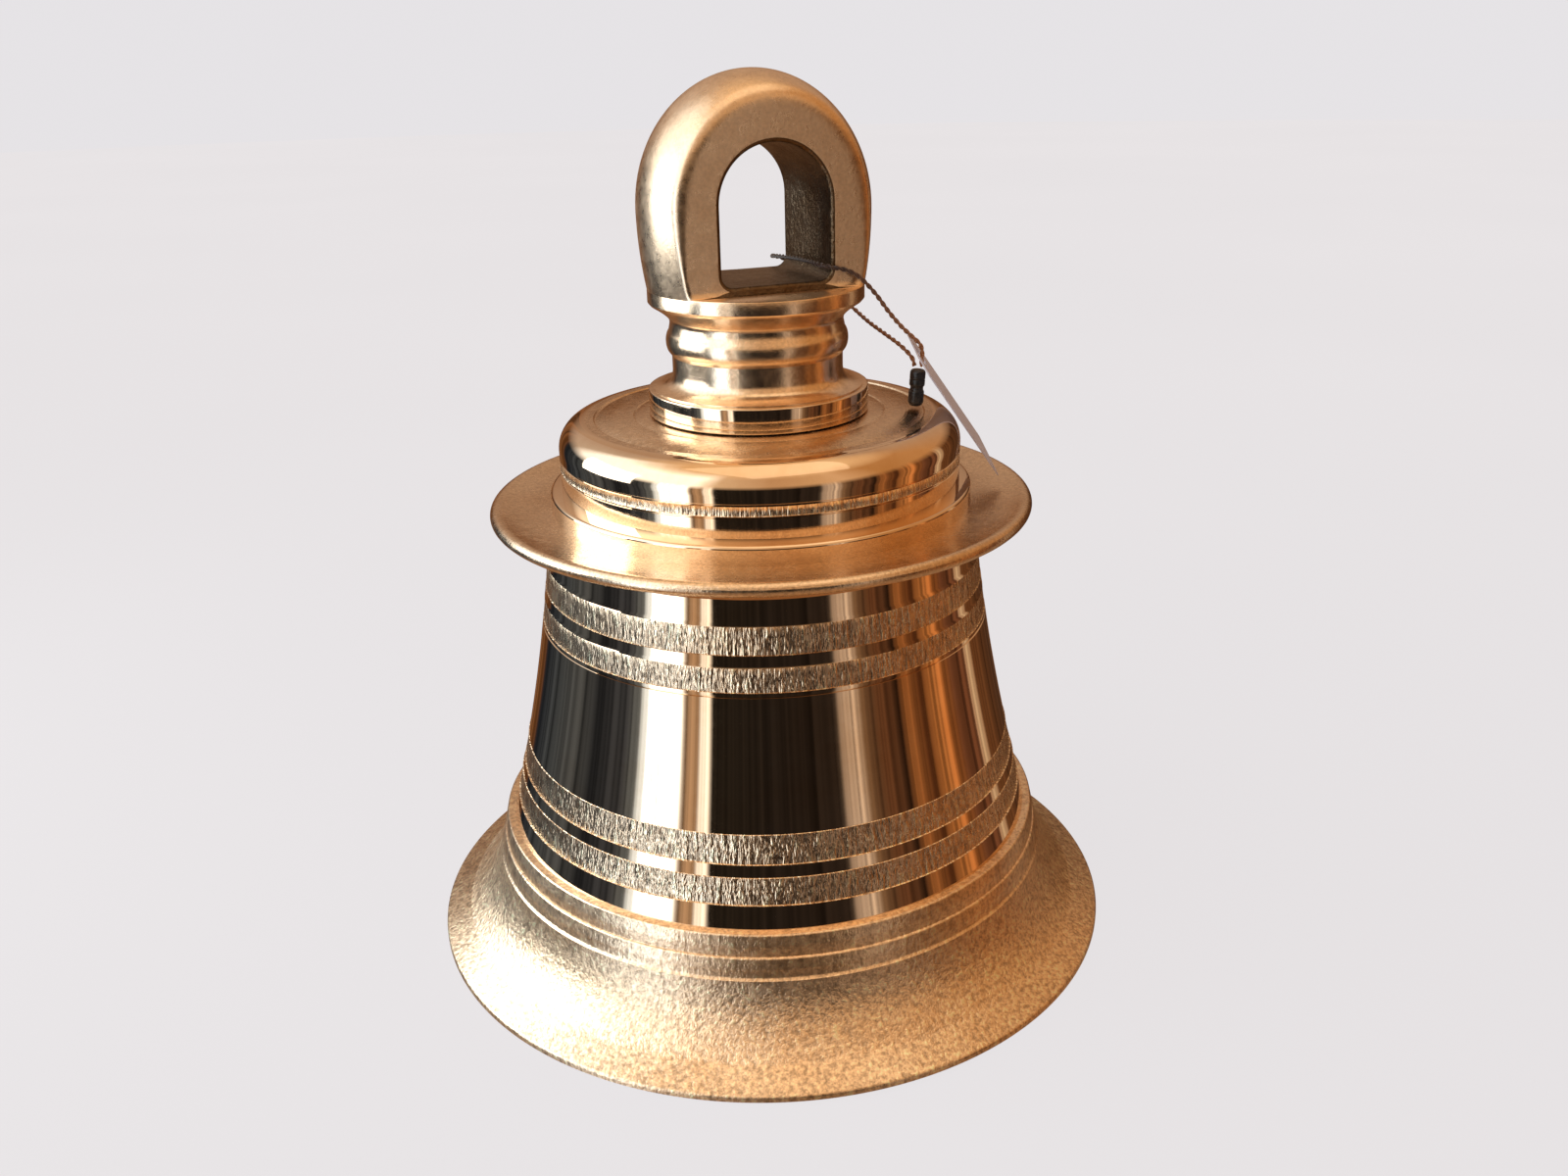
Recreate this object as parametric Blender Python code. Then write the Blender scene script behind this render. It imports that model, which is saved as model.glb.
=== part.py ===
"""Temple bell: a turned bronze bell standing on its mouth, with its crown eye, clapper and hang tag.

Frame: metres, +Z up, origin at the centre of the mouth on the surface that the bell stands on. The crown
eye's hole runs along Y, so the bell hangs from a hook or a bar that lies along Y.
"""

import math

import bmesh
import bpy
from mathutils import Matrix, Vector

MM = 0.001

# ---- Driving dimensions of the shell, from the mouth up -------------------------------------------------
MOUTH_RADIUS = 80.0 * MM
MOUTH_EDGE_HEIGHT = 1.2 * MM
CHAMFER_WIDTH = 6.0 * MM
CHAMFER_HEIGHT = 2.8 * MM
LIP_HEIGHT = 13.8 * MM
LIP_TOP_RADIUS = 65.4 * MM
STEP_HEIGHT = 4.8 * MM
STEP_DEPTH = 1.1 * MM
STEP_COUNT = 2
BODY_HEIGHT = 67.2 * MM
BODY_BASE_RADIUS = 61.3 * MM
BODY_TOP_RADIUS = 48.3 * MM
BODY_BASE_SLOPE = 0.27
BODY_TOP_SLOPE = 0.10
FLANGE_RADIUS = 60.2 * MM
FLANGE_RISE = 4.8 * MM
FLANGE_THICKNESS = 2.9 * MM
FLANGE_DISH_DEPTH = 1.4 * MM
RIDGE_RADIUS = 46.8 * MM
RIDGE_HEIGHT = 4.1 * MM
SHOULDER_RADIUS = 44.2 * MM
SHOULDER_HEIGHT = 15.2 * MM
SHOULDER_ROUND = 6.0 * MM
SHOULDER_CROWNING = 0.5 * MM

# ---- Walls of the shell ---------------------------------------------------------------------------------
WALL = 4.6 * MM
LIP_WALL = 9.0 * MM
HEAD_THICKNESS = 7.2 * MM
CAVITY_ROUND = 5.0 * MM

# ---- Crown: foot, stem and eye --------------------------------------------------------------------------
COLLAR_RADIUS = 24.0 * MM
COLLAR_HEIGHT = 5.4 * MM
STEM_HEIGHT = 18.0 * MM
WAIST_RADIUS = 18.5 * MM
BULGE_RADIUS = 19.7 * MM
BULGE_HALF_HEIGHT = 2.3 * MM
DISC_RADIUS = 23.2 * MM
DISC_HEIGHT = 3.4 * MM
EYE_HEIGHT = 43.2 * MM
EYE_SHOULDER_HEIGHT = 15.8 * MM
EYE_RADIUS = 24.6 * MM
EYE_THICKNESS = 25.8 * MM
EYE_HOLE_WIDTH = 24.0 * MM
EYE_HOLE_FLOOR = 1.6 * MM
EYE_TOP_WALL = 13.8 * MM
EYE_HOLE_CORNER = 2.5 * MM

# ---- Fastening through the head -------------------------------------------------------------------------
STUD_RADIUS = 4.0 * MM
STUD_GRIP = 16.0 * MM
WASHER_RADIUS = 12.0 * MM
WASHER_THICKNESS = 2.0 * MM
SPRING_WASHER_RADIUS = 7.2 * MM
SPRING_WASHER_THICKNESS = 2.0 * MM
SPRING_WASHER_SLIT = 1.4 * MM
NUT_ACROSS_FLATS = 13.0 * MM
NUT_HEIGHT = 6.5 * MM
STUD_BELOW_NUT = 1.5 * MM

# ---- Clapper --------------------------------------------------------------------------------------------
EYE_BAR = 5.0 * MM
EYE_RING_RADIUS = 7.0 * MM
RING_NECK = 1.5 * MM
LINK_BAR = 4.0 * MM
LINK_SLACK = 0.5 * MM
LINK_LENGTH = 17.0 * MM
ROD_RADIUS = 3.0 * MM
ROD_COLLAR_RADIUS = 5.0 * MM
ROD_COLLAR_HEIGHT = 2.4 * MM
BALL_RADIUS = 17.0 * MM
BALL_CENTRE_HEIGHT = 27.0 * MM
TAIL_NUT_ACROSS_FLATS = 10.0 * MM
TAIL_NUT_HEIGHT = 4.6 * MM
TAIL_LENGTH = 0.8 * MM

# ---- Hang tag -------------------------------------------------------------------------------------------
CORD_DIAMETER = 1.0 * MM
SEAL_RADIUS = 1.7 * MM
SEAL_LENGTH = 8.0 * MM
CARD_LENGTH = 37.0 * MM
CARD_WIDTH = 16.0 * MM
CARD_THICKNESS = 0.3 * MM
CARD_HOLE_RADIUS = 2.6 * MM
CARD_HOLE_MARGIN = 4.0 * MM

# ---- Fits -----------------------------------------------------------------------------------------------
GAP = 0.3 * MM
LINK_PLAY = 0.3 * MM

# ---- Facets ---------------------------------------------------------------------------------------------
SHELL_FACETS = 52
CROWN_FACETS = 48
ROUND_FACETS = 24
BAR_FACETS = 10

# ---- Levels worked out from the sizes above -------------------------------------------------------------
CHAMFER_TOP_Z = MOUTH_EDGE_HEIGHT + CHAMFER_HEIGHT
LIP_TOP_Z = CHAMFER_TOP_Z + LIP_HEIGHT
BODY_BASE_Z = LIP_TOP_Z + STEP_COUNT * STEP_HEIGHT
BODY_TOP_Z = BODY_BASE_Z + BODY_HEIGHT
RIM_TOP_Z = BODY_TOP_Z + FLANGE_RISE + FLANGE_THICKNESS
DISH_Z = RIM_TOP_Z - FLANGE_DISH_DEPTH
RIDGE_TOP_Z = DISH_Z + RIDGE_HEIGHT
SHOULDER_TOP_Z = RIDGE_TOP_Z + SHOULDER_HEIGHT
HEAD_UNDERSIDE_Z = SHOULDER_TOP_Z - HEAD_THICKNESS
CROWN_BASE_Z = SHOULDER_TOP_Z + SHOULDER_CROWNING + GAP
COLLAR_TOP_Z = CROWN_BASE_Z + COLLAR_HEIGHT
DISC_BASE_Z = COLLAR_TOP_Z + STEM_HEIGHT
LEDGE_Z = DISC_BASE_Z + DISC_HEIGHT
CROWN_TOP_Z = LEDGE_Z + EYE_HEIGHT
HOLE_FLOOR_Z = LEDGE_Z + EYE_HOLE_FLOOR
HOLE_TOP_Z = CROWN_TOP_Z - EYE_TOP_WALL
STUD_HOLE_RADIUS = STUD_RADIUS + GAP
WASHER_TOP_Z = HEAD_UNDERSIDE_Z - GAP
SPRING_WASHER_TOP_Z = WASHER_TOP_Z - WASHER_THICKNESS - GAP
NUT_TOP_Z = SPRING_WASHER_TOP_Z - SPRING_WASHER_THICKNESS - GAP
STUD_END_Z = NUT_TOP_Z - NUT_HEIGHT - STUD_BELOW_NUT
STAPLE_RING_Z = STUD_END_Z - EYE_RING_RADIUS - RING_NECK
STAPLE_PIVOT_Z = STAPLE_RING_Z - EYE_RING_RADIUS
LINK_TOP_Z = STAPLE_PIVOT_Z + EYE_BAR / 2 + LINK_PLAY + LINK_BAR / 2
CLAPPER_PIVOT_Z = LINK_TOP_Z - LINK_LENGTH
CLAPPER_RING_TOP_Z = CLAPPER_PIVOT_Z + LINK_BAR / 2 + LINK_PLAY + EYE_BAR / 2
CLAPPER_RING_Z = CLAPPER_RING_TOP_Z - EYE_RING_RADIUS
BALL_SEAT_RADIUS = ROD_COLLAR_RADIUS + GAP
BALL_SEAT_HALF = math.sqrt(BALL_RADIUS ** 2 - BALL_SEAT_RADIUS ** 2)
TAIL_NUT_TOP_Z = BALL_CENTRE_HEIGHT - BALL_SEAT_HALF - GAP
ROD_END_Z = TAIL_NUT_TOP_Z - TAIL_NUT_HEIGHT - TAIL_LENGTH

# The cord's route is given from the eye's ledge, on the axis: front strand, through the eye, back strand.
CORD_DATUM = Vector((0, 0, LEDGE_Z))
CORD_ROUTE = [
    (32.4, -14.5, -18.2),
    (32.5, -14.6, -16.5),
    (32.4, -14.8, -14.8),
    (31.7, -15.0, -13.2),
    (29.8, -15.1, -11.4),
    (27.2, -15.0, -9.0),
    (24.2, -15.1, -5.7),
    (20.8, -15.2, -1.4),
    (17.2, -15.1, 2.2),
    (14.2, -14.9, 3.8),
    (11.6, -14.3, 4.4),
    (10.1, -12.2, 4.7),
    (9.9, -8.0, 4.8),
    (10.1, 2.0, 4.5),
    (9.7, 10.0, 4.0),
    (9.9, 14.8, 3.5),
    (12.0, 17.4, 2.9),
    (16.0, 18.0, 1.4),
    (20.8, 16.6, -1.6),
    (24.8, 12.8, -5.6),
    (26.9, 7.6, -8.8),
    (27.7, 1.8, -10.8),
    (28.6, -4.0, -12.4),
    (29.8, -9.4, -14.2),
    (31.0, -12.5, -16.3),
    (31.5, -13.1, -18.2),
]
SEAL_FOOT = (31.5, -13.7)
SEAL_LEAN = (0.55, -0.1)
CARD_HOLE_PLACE = (32.5, -14.6, -16.5)
CARD_FALL = (0.617, 0.147, -0.773)
CARD_ACROSS = (0.478, 0.845, -0.240)


# ---- Small modelling helpers ----------------------------------------------------------------------------
def clear_scene():
    for obj in list(bpy.data.objects):
        bpy.data.objects.remove(obj, do_unlink=True)


def material(name, colour, roughness, metallic):
    mat = bpy.data.materials.new(name)
    mat.use_nodes = True
    shader = mat.node_tree.nodes["Principled BSDF"]
    shader.inputs["Base Color"].default_value = (*colour, 1.0)
    shader.inputs["Roughness"].default_value = roughness
    shader.inputs["Metallic"].default_value = metallic
    return mat


def finish(name, bm, mat, sharp_angle=35.0):
    """Turn a closed bmesh into a named, smooth-shaded object with one material."""
    bmesh.ops.recalc_face_normals(bm, faces=bm.faces)
    mesh = bpy.data.meshes.new(name)
    bm.to_mesh(mesh)
    bm.free()
    mesh.materials.append(mat)
    mesh.shade_smooth()
    mesh.set_sharp_from_angle(angle=math.radians(sharp_angle))
    obj = bpy.data.objects.new(name, mesh)
    bpy.context.collection.objects.link(obj)
    return obj


def arc(centre_r, centre_z, radius, start_deg, end_deg, count):
    """Points on a round stretch of an outline, both ends included."""
    points = []
    for i in range(count + 1):
        angle = math.radians(start_deg + (end_deg - start_deg) * i / count)
        points.append((centre_r + radius * math.cos(angle), centre_z + radius * math.sin(angle)))
    return points


def ellipse(centre_z, radius_r, radius_z, start_deg, end_deg, count):
    points = []
    for i in range(count + 1):
        angle = math.radians(start_deg + (end_deg - start_deg) * i / count)
        points.append((radius_r * math.cos(angle), centre_z + radius_z * math.sin(angle)))
    return points


def bezier(start, handle, end, count):
    """Points on a quadratic curve, both ends included."""
    points = []
    for i in range(count + 1):
        t = i / count
        points.append(tuple(
            (1 - t) ** 2 * a + 2 * t * (1 - t) * b + t * t * c
            for a, b, c in zip(start, handle, end)
        ))
    return points


def turn(points, facets, closed):
    """Spin an outline of (radius, height) points round Z. An open outline starts and ends on the axis."""
    bm = bmesh.new()
    verts = [bm.verts.new((r, 0, z)) for r, z in points]
    pairs = list(zip(verts, verts[1:]))
    if closed:
        pairs.append((verts[-1], verts[0]))
    edges = [bm.edges.new(pair) for pair in pairs]
    bmesh.ops.spin(
        bm, geom=verts + edges, cent=(0, 0, 0), axis=(0, 0, 1), angle=math.tau, steps=facets, use_merge=True
    )
    bmesh.ops.remove_doubles(bm, verts=bm.verts, dist=0.001 * MM)
    return bm


def ring(major, bar, centre, upright_normal):
    """A round ring of round bar, its hole along the given axis."""
    bm = bmesh.new()
    circle = bmesh.ops.create_circle(
        bm, segments=BAR_FACETS, radius=bar / 2, matrix=Matrix.Translation((major, 0, 0)) @ Matrix.Rotation(
            math.pi / 2, 4, "X")
    )
    edges = list({edge for vert in circle["verts"] for edge in vert.link_edges})
    bmesh.ops.spin(
        bm, geom=circle["verts"] + edges, cent=(0, 0, 0), axis=(0, 0, 1), angle=math.tau, steps=ROUND_FACETS,
        use_merge=True
    )
    to_axis = Vector((0, 0, 1)).rotation_difference(Vector(upright_normal)).to_matrix().to_4x4()
    bmesh.ops.transform(bm, matrix=Matrix.Translation(centre) @ to_axis, verts=bm.verts)
    return bm


def prism(outline, depth, matrix):
    """Extrude a flat outline, drawn in XY, along +Z by depth, then place it."""
    bm = bmesh.new()
    verts = [bm.verts.new((x, y, 0)) for x, y in outline]
    face = bm.faces.new(verts)
    grown = bmesh.ops.extrude_face_region(bm, geom=[face])
    top = [item for item in grown["geom"] if isinstance(item, bmesh.types.BMVert)]
    bmesh.ops.translate(bm, vec=(0, 0, depth), verts=top)
    bmesh.ops.transform(bm, matrix=matrix, verts=bm.verts)
    return bm


def cut(obj, name, cutter_bm, operation="DIFFERENCE"):
    """Cut obj by, or join it with, a guide shape that the build leaves out."""
    guide = finish(name, cutter_bm, obj.data.materials[0])
    guide.hide_render = True
    guide.display_type = "WIRE"
    modifier = obj.modifiers.new(name, "BOOLEAN")
    modifier.operation = operation
    modifier.object = guide


# ---- The shell ------------------------------------------------------------------------------------------
def body_curve(inset, count):
    """The body's slightly hollow flank, from its base up, set in by a wall thickness."""
    base = (BODY_BASE_RADIUS - inset, BODY_BASE_Z)
    top = (BODY_TOP_RADIUS - inset, BODY_TOP_Z)
    rise = (base[0] - top[0] + BODY_TOP_SLOPE * (base[1] - top[1])) / (BODY_BASE_SLOPE - BODY_TOP_SLOPE)
    handle = (base[0] - BODY_BASE_SLOPE * rise, base[1] + rise)
    return bezier(base, handle, top, count)


def lip_outline():
    chamfer_radius = MOUTH_RADIUS - CHAMFER_WIDTH
    points = [(MOUTH_RADIUS, 0), (MOUTH_RADIUS, MOUTH_EDGE_HEIGHT)]
    handle = (LIP_TOP_RADIUS + 0.15 * (chamfer_radius - LIP_TOP_RADIUS), CHAMFER_TOP_Z + 0.42 * LIP_HEIGHT)
    points += bezier((chamfer_radius, CHAMFER_TOP_Z), handle, (LIP_TOP_RADIUS, LIP_TOP_Z), 6)
    return points


def step_outline():
    """The low turned steps between the lip and the body, each with a rounded top edge."""
    points = []
    round_radius = 0.5 * STEP_DEPTH
    for i in range(STEP_COUNT):
        radius = LIP_TOP_RADIUS - i * STEP_DEPTH - STEP_DEPTH / 2
        base_z = LIP_TOP_Z + i * STEP_HEIGHT
        top_z = base_z + STEP_HEIGHT
        points.append((radius, base_z + 0.1 * STEP_HEIGHT))
        points += arc(radius - 2 * round_radius, top_z - round_radius, round_radius, 0, 90, 2)
    return points


def flange_outline():
    rim = FLANGE_THICKNESS / 2
    rim_z = RIM_TOP_Z - rim
    points = [(BODY_TOP_RADIUS + 1.2 * MM, BODY_TOP_Z + 1.2 * MM)]
    points += arc(FLANGE_RADIUS - rim, rim_z, rim, -90, 90, 5)
    points += bezier(
        (FLANGE_RADIUS - 1.6 * rim, RIM_TOP_Z - 0.1 * rim),
        ((FLANGE_RADIUS + RIDGE_RADIUS) / 2, DISH_Z - 0.2 * FLANGE_DISH_DEPTH),
        (RIDGE_RADIUS, DISH_Z),
        3,
    )
    return points


def shoulder_outline():
    points = arc(RIDGE_RADIUS - 0.8 * MM, RIDGE_TOP_Z - 0.8 * MM, 0.8 * MM, 0, 90, 2)
    points.append((SHOULDER_RADIUS, RIDGE_TOP_Z))
    points += arc(SHOULDER_RADIUS - SHOULDER_ROUND, SHOULDER_TOP_Z - SHOULDER_ROUND, SHOULDER_ROUND, 0, 90, 4)
    points.append((COLLAR_RADIUS, SHOULDER_TOP_Z + SHOULDER_CROWNING))
    points.append((STUD_HOLE_RADIUS, SHOULDER_TOP_Z + SHOULDER_CROWNING))
    return points


def cavity_outline():
    """The inside, from the stud's hole down to the mouth."""
    cavity_radius = SHOULDER_RADIUS - WALL
    points = [(STUD_HOLE_RADIUS, HEAD_UNDERSIDE_Z)]
    points += arc(cavity_radius - CAVITY_ROUND, HEAD_UNDERSIDE_Z - CAVITY_ROUND, CAVITY_ROUND, 90, 0, 3)
    points.append((cavity_radius, DISH_Z))
    points += list(reversed(body_curve(WALL, 6)))
    base = points[-1]
    mouth = (MOUTH_RADIUS - LIP_WALL, 0)
    points += bezier(base, (base[0] + 0.22 * (mouth[0] - base[0]), 0.42 * base[1]), mouth, 5)[1:]
    return points


def make_shell(mat):
    points = lip_outline() + step_outline() + body_curve(0, 8) + flange_outline()
    points += shoulder_outline() + cavity_outline()
    finish("bell_shell", turn(points, SHELL_FACETS, closed=True), mat)


# ---- The crown ------------------------------------------------------------------------------------------
def crown_outline():
    """Half of the turned blank: the tapped hole, foot, stem, disc and the egg that the eye is cut from."""
    hole_end_z = CROWN_BASE_Z + STUD_GRIP + GAP
    bulge_z = COLLAR_TOP_Z + 0.56 * STEM_HEIGHT
    waist_z = COLLAR_TOP_Z + 0.22 * STEM_HEIGHT
    neck_z = COLLAR_TOP_Z + 0.78 * STEM_HEIGHT
    egg_z = LEDGE_Z + EYE_SHOULDER_HEIGHT
    points = [(0, hole_end_z), (STUD_HOLE_RADIUS, hole_end_z), (STUD_HOLE_RADIUS, CROWN_BASE_Z)]
    points += [(COLLAR_RADIUS, CROWN_BASE_Z), (COLLAR_RADIUS, COLLAR_TOP_Z)]
    points += bezier(
        (COLLAR_RADIUS - 0.8 * MM, COLLAR_TOP_Z + 0.3 * MM), (WAIST_RADIUS, COLLAR_TOP_Z + 0.6 * MM),
        (WAIST_RADIUS, waist_z), 4
    )
    points.append((WAIST_RADIUS, bulge_z - 1.3 * BULGE_HALF_HEIGHT))
    for i in range(5):
        lift = -1 + i / 2
        bulge = (BULGE_RADIUS - WAIST_RADIUS) * math.sqrt(1 - 0.8 * lift * lift)
        points.append((WAIST_RADIUS + bulge, bulge_z + lift * BULGE_HALF_HEIGHT))
    points.append((WAIST_RADIUS + 0.2 * MM, neck_z))
    points += bezier(
        (WAIST_RADIUS + 0.3 * MM, neck_z + 0.8 * MM), (WAIST_RADIUS + 1.2 * MM, neck_z + 0.55 * (DISC_BASE_Z - neck_z)),
        (DISC_RADIUS - 0.5 * MM, DISC_BASE_Z), 3
    )
    points += [(DISC_RADIUS, DISC_BASE_Z + 0.6 * MM)]
    lower_height = EYE_SHOULDER_HEIGHT / math.sqrt(1 - (DISC_RADIUS / EYE_RADIUS) ** 2)
    start_deg = -math.degrees(math.acos(DISC_RADIUS / EYE_RADIUS))
    points += ellipse(egg_z, EYE_RADIUS, lower_height, start_deg, 0, 4)
    upper_height = CROWN_TOP_Z - egg_z
    points += ellipse(egg_z, EYE_RADIUS, upper_height, 0, 90, 11)[1:]
    points[-1] = (0, CROWN_TOP_Z)
    return points


def eye_hole_outline():
    """The arched hole, drawn in X and Z: flat floor with small rounded corners, round arch."""
    half = EYE_HOLE_WIDTH / 2
    corner = EYE_HOLE_CORNER
    arch_z = HOLE_TOP_Z - half
    points = arc(-half + corner, HOLE_FLOOR_Z + corner, corner, 180, 270, 3)
    points += arc(half - corner, HOLE_FLOOR_Z + corner, corner, 270, 360, 3)
    points += arc(0, arch_z, half, 0, 180, 16)
    return points


def upright(offset_y):
    """Places an outline drawn in XY so that it stands in X and Z, extruded towards -Y from offset_y."""
    return Matrix.Translation((0, offset_y, 0)) @ Matrix.Rotation(math.pi / 2, 4, "X")


def make_crown(mat):
    crown = finish("crown_eye", turn(crown_outline(), CROWN_FACETS, closed=False), mat)
    side = 2 * EYE_RADIUS
    flat = [(-side, LEDGE_Z), (side, LEDGE_Z), (side, CROWN_TOP_Z + side), (-side, CROWN_TOP_Z + side)]
    cut(crown, "cutter_front_flat", prism(flat, side, upright(-EYE_THICKNESS / 2)))
    cut(crown, "cutter_back_flat", prism(flat, side, upright(EYE_THICKNESS / 2 + side)))
    cut(crown, "cutter_eye_hole", prism(eye_hole_outline(), 2 * side, upright(side)))


# ---- Fastening through the head -------------------------------------------------------------------------
def washer(name, inner, outer, top_z, thickness, mat):
    outline = [(inner, top_z), (inner, top_z - thickness), (outer, top_z - thickness), (outer, top_z)]
    return finish(name, turn(outline, ROUND_FACETS, closed=True), mat)


def hex_nut(name, across_flats, bore, top_z, height, mat):
    """A hexagon nut: a turned ring with rounded corners, trimmed by six flats."""
    corner = across_flats / math.sqrt(3)
    trim = 0.12 * height
    outline = [(bore, top_z), (bore, top_z - height)]
    outline += [(across_flats / 2, top_z - height), (corner, top_z - height + trim)]
    outline += [(corner, top_z - trim), (across_flats / 2, top_z)]
    nut = finish(name, turn(outline, ROUND_FACETS, closed=True), mat, 20.0)
    hexagon = [
        (corner * math.cos(math.radians(60 * i + 30)), corner * math.sin(math.radians(60 * i + 30)))
        for i in range(6)
    ]
    guide = prism(hexagon, 3 * height, Matrix.Translation((0, 0, top_z - 2 * height)))
    cut(nut, "cutter_" + name, guide, "INTERSECT")


def make_spring_washer(mat):
    obj = washer(
        "spring_washer", STUD_HOLE_RADIUS, SPRING_WASHER_RADIUS, SPRING_WASHER_TOP_Z, SPRING_WASHER_THICKNESS, mat
    )
    half = SPRING_WASHER_SLIT / 2
    reach = 2 * SPRING_WASHER_RADIUS
    slit = [(0, -half), (reach, -half), (reach, half), (0, half)]
    below = SPRING_WASHER_TOP_Z - 2 * SPRING_WASHER_THICKNESS
    cut(obj, "cutter_slit", prism(slit, 3 * SPRING_WASHER_THICKNESS, Matrix.Translation((0, 0, below))))


def make_staple(mat):
    """The eyebolt that holds the crown down and carries the clapper: stud and ring in one forging."""
    top_z = CROWN_BASE_Z + STUD_GRIP
    foot_z = STUD_END_Z - RING_NECK
    outline = [(0, foot_z), (STUD_RADIUS - 1.2 * MM, foot_z), (STUD_RADIUS, STUD_END_Z)]
    outline += [(STUD_RADIUS, top_z - 0.6 * MM), (STUD_RADIUS - 0.6 * MM, top_z), (0, top_z)]
    staple = finish("clapper_staple", turn(outline, ROUND_FACETS, closed=False), mat)
    cut(staple, "guide_staple_ring", ring(EYE_RING_RADIUS, EYE_BAR, (0, 0, STAPLE_RING_Z), (1, 0, 0)), "UNION")


# ---- Clapper --------------------------------------------------------------------------------------------
def make_link(mat):
    """An oval welded link of round bar, standing in X and Z, hung in the staple's ring."""
    end_radius = EYE_BAR / 2 + LINK_BAR / 2 + LINK_SLACK
    straight = LINK_LENGTH - 2 * end_radius
    top_z = LINK_TOP_Z - end_radius
    path = arc(0, top_z, end_radius, 0, 180, 12)
    path += arc(0, top_z - straight, end_radius, 180, 360, 12)
    bm = bmesh.new()
    rings = []
    for i, (x, z) in enumerate(path):
        before = Vector(path[i - 1])
        after = Vector(path[(i + 1) % len(path)])
        along = (after - before).normalized()
        frame = Matrix((
            (along.y, 0, along.x, x),
            (0, 1, 0, 0),
            (-along.x, 0, along.y, z),
            (0, 0, 0, 1),
        ))
        circle = bmesh.ops.create_circle(bm, segments=BAR_FACETS, radius=LINK_BAR / 2, matrix=frame)
        rings.append(circle["verts"])
    for here, there in zip(rings, rings[1:] + rings[:1]):
        for k in range(BAR_FACETS):
            n = (k + 1) % BAR_FACETS
            bm.faces.new((here[k], here[n], there[n], there[k]))
    finish("clapper_link", bm, mat, 60.0)


def make_rod(mat):
    """The clapper's shank: a ring at the top, a collar that seats on the ball, and a threaded tail."""
    collar_z = BALL_CENTRE_HEIGHT + BALL_SEAT_HALF + GAP
    head_z = CLAPPER_RING_Z - EYE_RING_RADIUS
    outline = [(0, ROD_END_Z), (ROD_RADIUS - 0.4 * MM, ROD_END_Z), (ROD_RADIUS, ROD_END_Z + 0.4 * MM)]
    outline += [(ROD_RADIUS, collar_z), (ROD_COLLAR_RADIUS, collar_z)]
    outline += [(ROD_COLLAR_RADIUS, collar_z + ROD_COLLAR_HEIGHT), (ROD_RADIUS, collar_z + 1.5 * ROD_COLLAR_HEIGHT)]
    outline += [(ROD_RADIUS, head_z - 1.0 * MM), (ROD_RADIUS - 0.4 * MM, head_z), (0, head_z)]
    rod = finish("clapper_rod", turn(outline, ROUND_FACETS, closed=False), mat)
    cut(rod, "guide_rod_ring", ring(EYE_RING_RADIUS, EYE_BAR, (0, 0, CLAPPER_RING_Z), (1, 0, 0)), "UNION")


def make_ball(mat):
    """The ball, bored for the rod, with a small flat seat at each end of the bore."""
    bore = ROD_RADIUS + GAP
    seat_deg = math.degrees(math.asin(BALL_SEAT_HALF / BALL_RADIUS))
    points = [(bore, BALL_CENTRE_HEIGHT - BALL_SEAT_HALF)]
    points += arc(0, BALL_CENTRE_HEIGHT, BALL_RADIUS, -seat_deg, seat_deg, 16)
    points.append((bore, BALL_CENTRE_HEIGHT + BALL_SEAT_HALF))
    finish("clapper_ball", turn(points, ROUND_FACETS, closed=True), mat)


# ---- Hang tag -------------------------------------------------------------------------------------------
def smooth_route(points, spacing):
    """Points a spacing apart on a smooth curve through the route's own points."""
    padded = [2 * points[0] - points[1]] + points + [2 * points[-1] - points[-2]]
    fine = []
    for a, b, c, d in zip(padded, padded[1:], padded[2:], padded[3:]):
        for i in range(20):
            t = i / 20
            fine.append(0.5 * (
                2 * b + (c - a) * t + (2 * a - 5 * b + 4 * c - d) * t * t + (3 * b - a - 3 * c + d) * t ** 3
            ))
    fine.append(points[-1])
    lengths = [0.0]
    for here, there in zip(fine, fine[1:]):
        lengths.append(lengths[-1] + (there - here).length)
    count = round(lengths[-1] / spacing)
    picked = []
    k = 0
    for i in range(count + 1):
        target = lengths[-1] * i / count
        while k < len(fine) - 2 and lengths[k + 1] < target:
            k += 1
        share = (target - lengths[k]) / (lengths[k + 1] - lengths[k])
        picked.append(fine[k].lerp(fine[k + 1], share))
    return picked


def make_cord(mat):
    route = [CORD_DATUM + Vector(point) * MM for point in CORD_ROUTE]
    points = smooth_route(route, 2.2 * CORD_DIAMETER)
    curve = bpy.data.curves.new("tag_cord", "CURVE")
    curve.dimensions = "3D"
    curve.bevel_depth = CORD_DIAMETER / 2
    curve.bevel_resolution = 2
    curve.use_fill_caps = True
    spline = curve.splines.new("POLY")
    spline.points.add(len(points) - 1)
    for slot, point in zip(spline.points, points):
        slot.co = (*point, 1.0)
    curve.materials.append(mat)
    obj = bpy.data.objects.new("tag_cord", curve)
    bpy.context.collection.objects.link(obj)


def shoulder_height_at(radius):
    """The height of the shoulder's gently coned top at a radius."""
    edge = SHOULDER_RADIUS - SHOULDER_ROUND
    share = (edge - radius) / (edge - COLLAR_RADIUS)
    return SHOULDER_TOP_Z + SHOULDER_CROWNING * share


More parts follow.
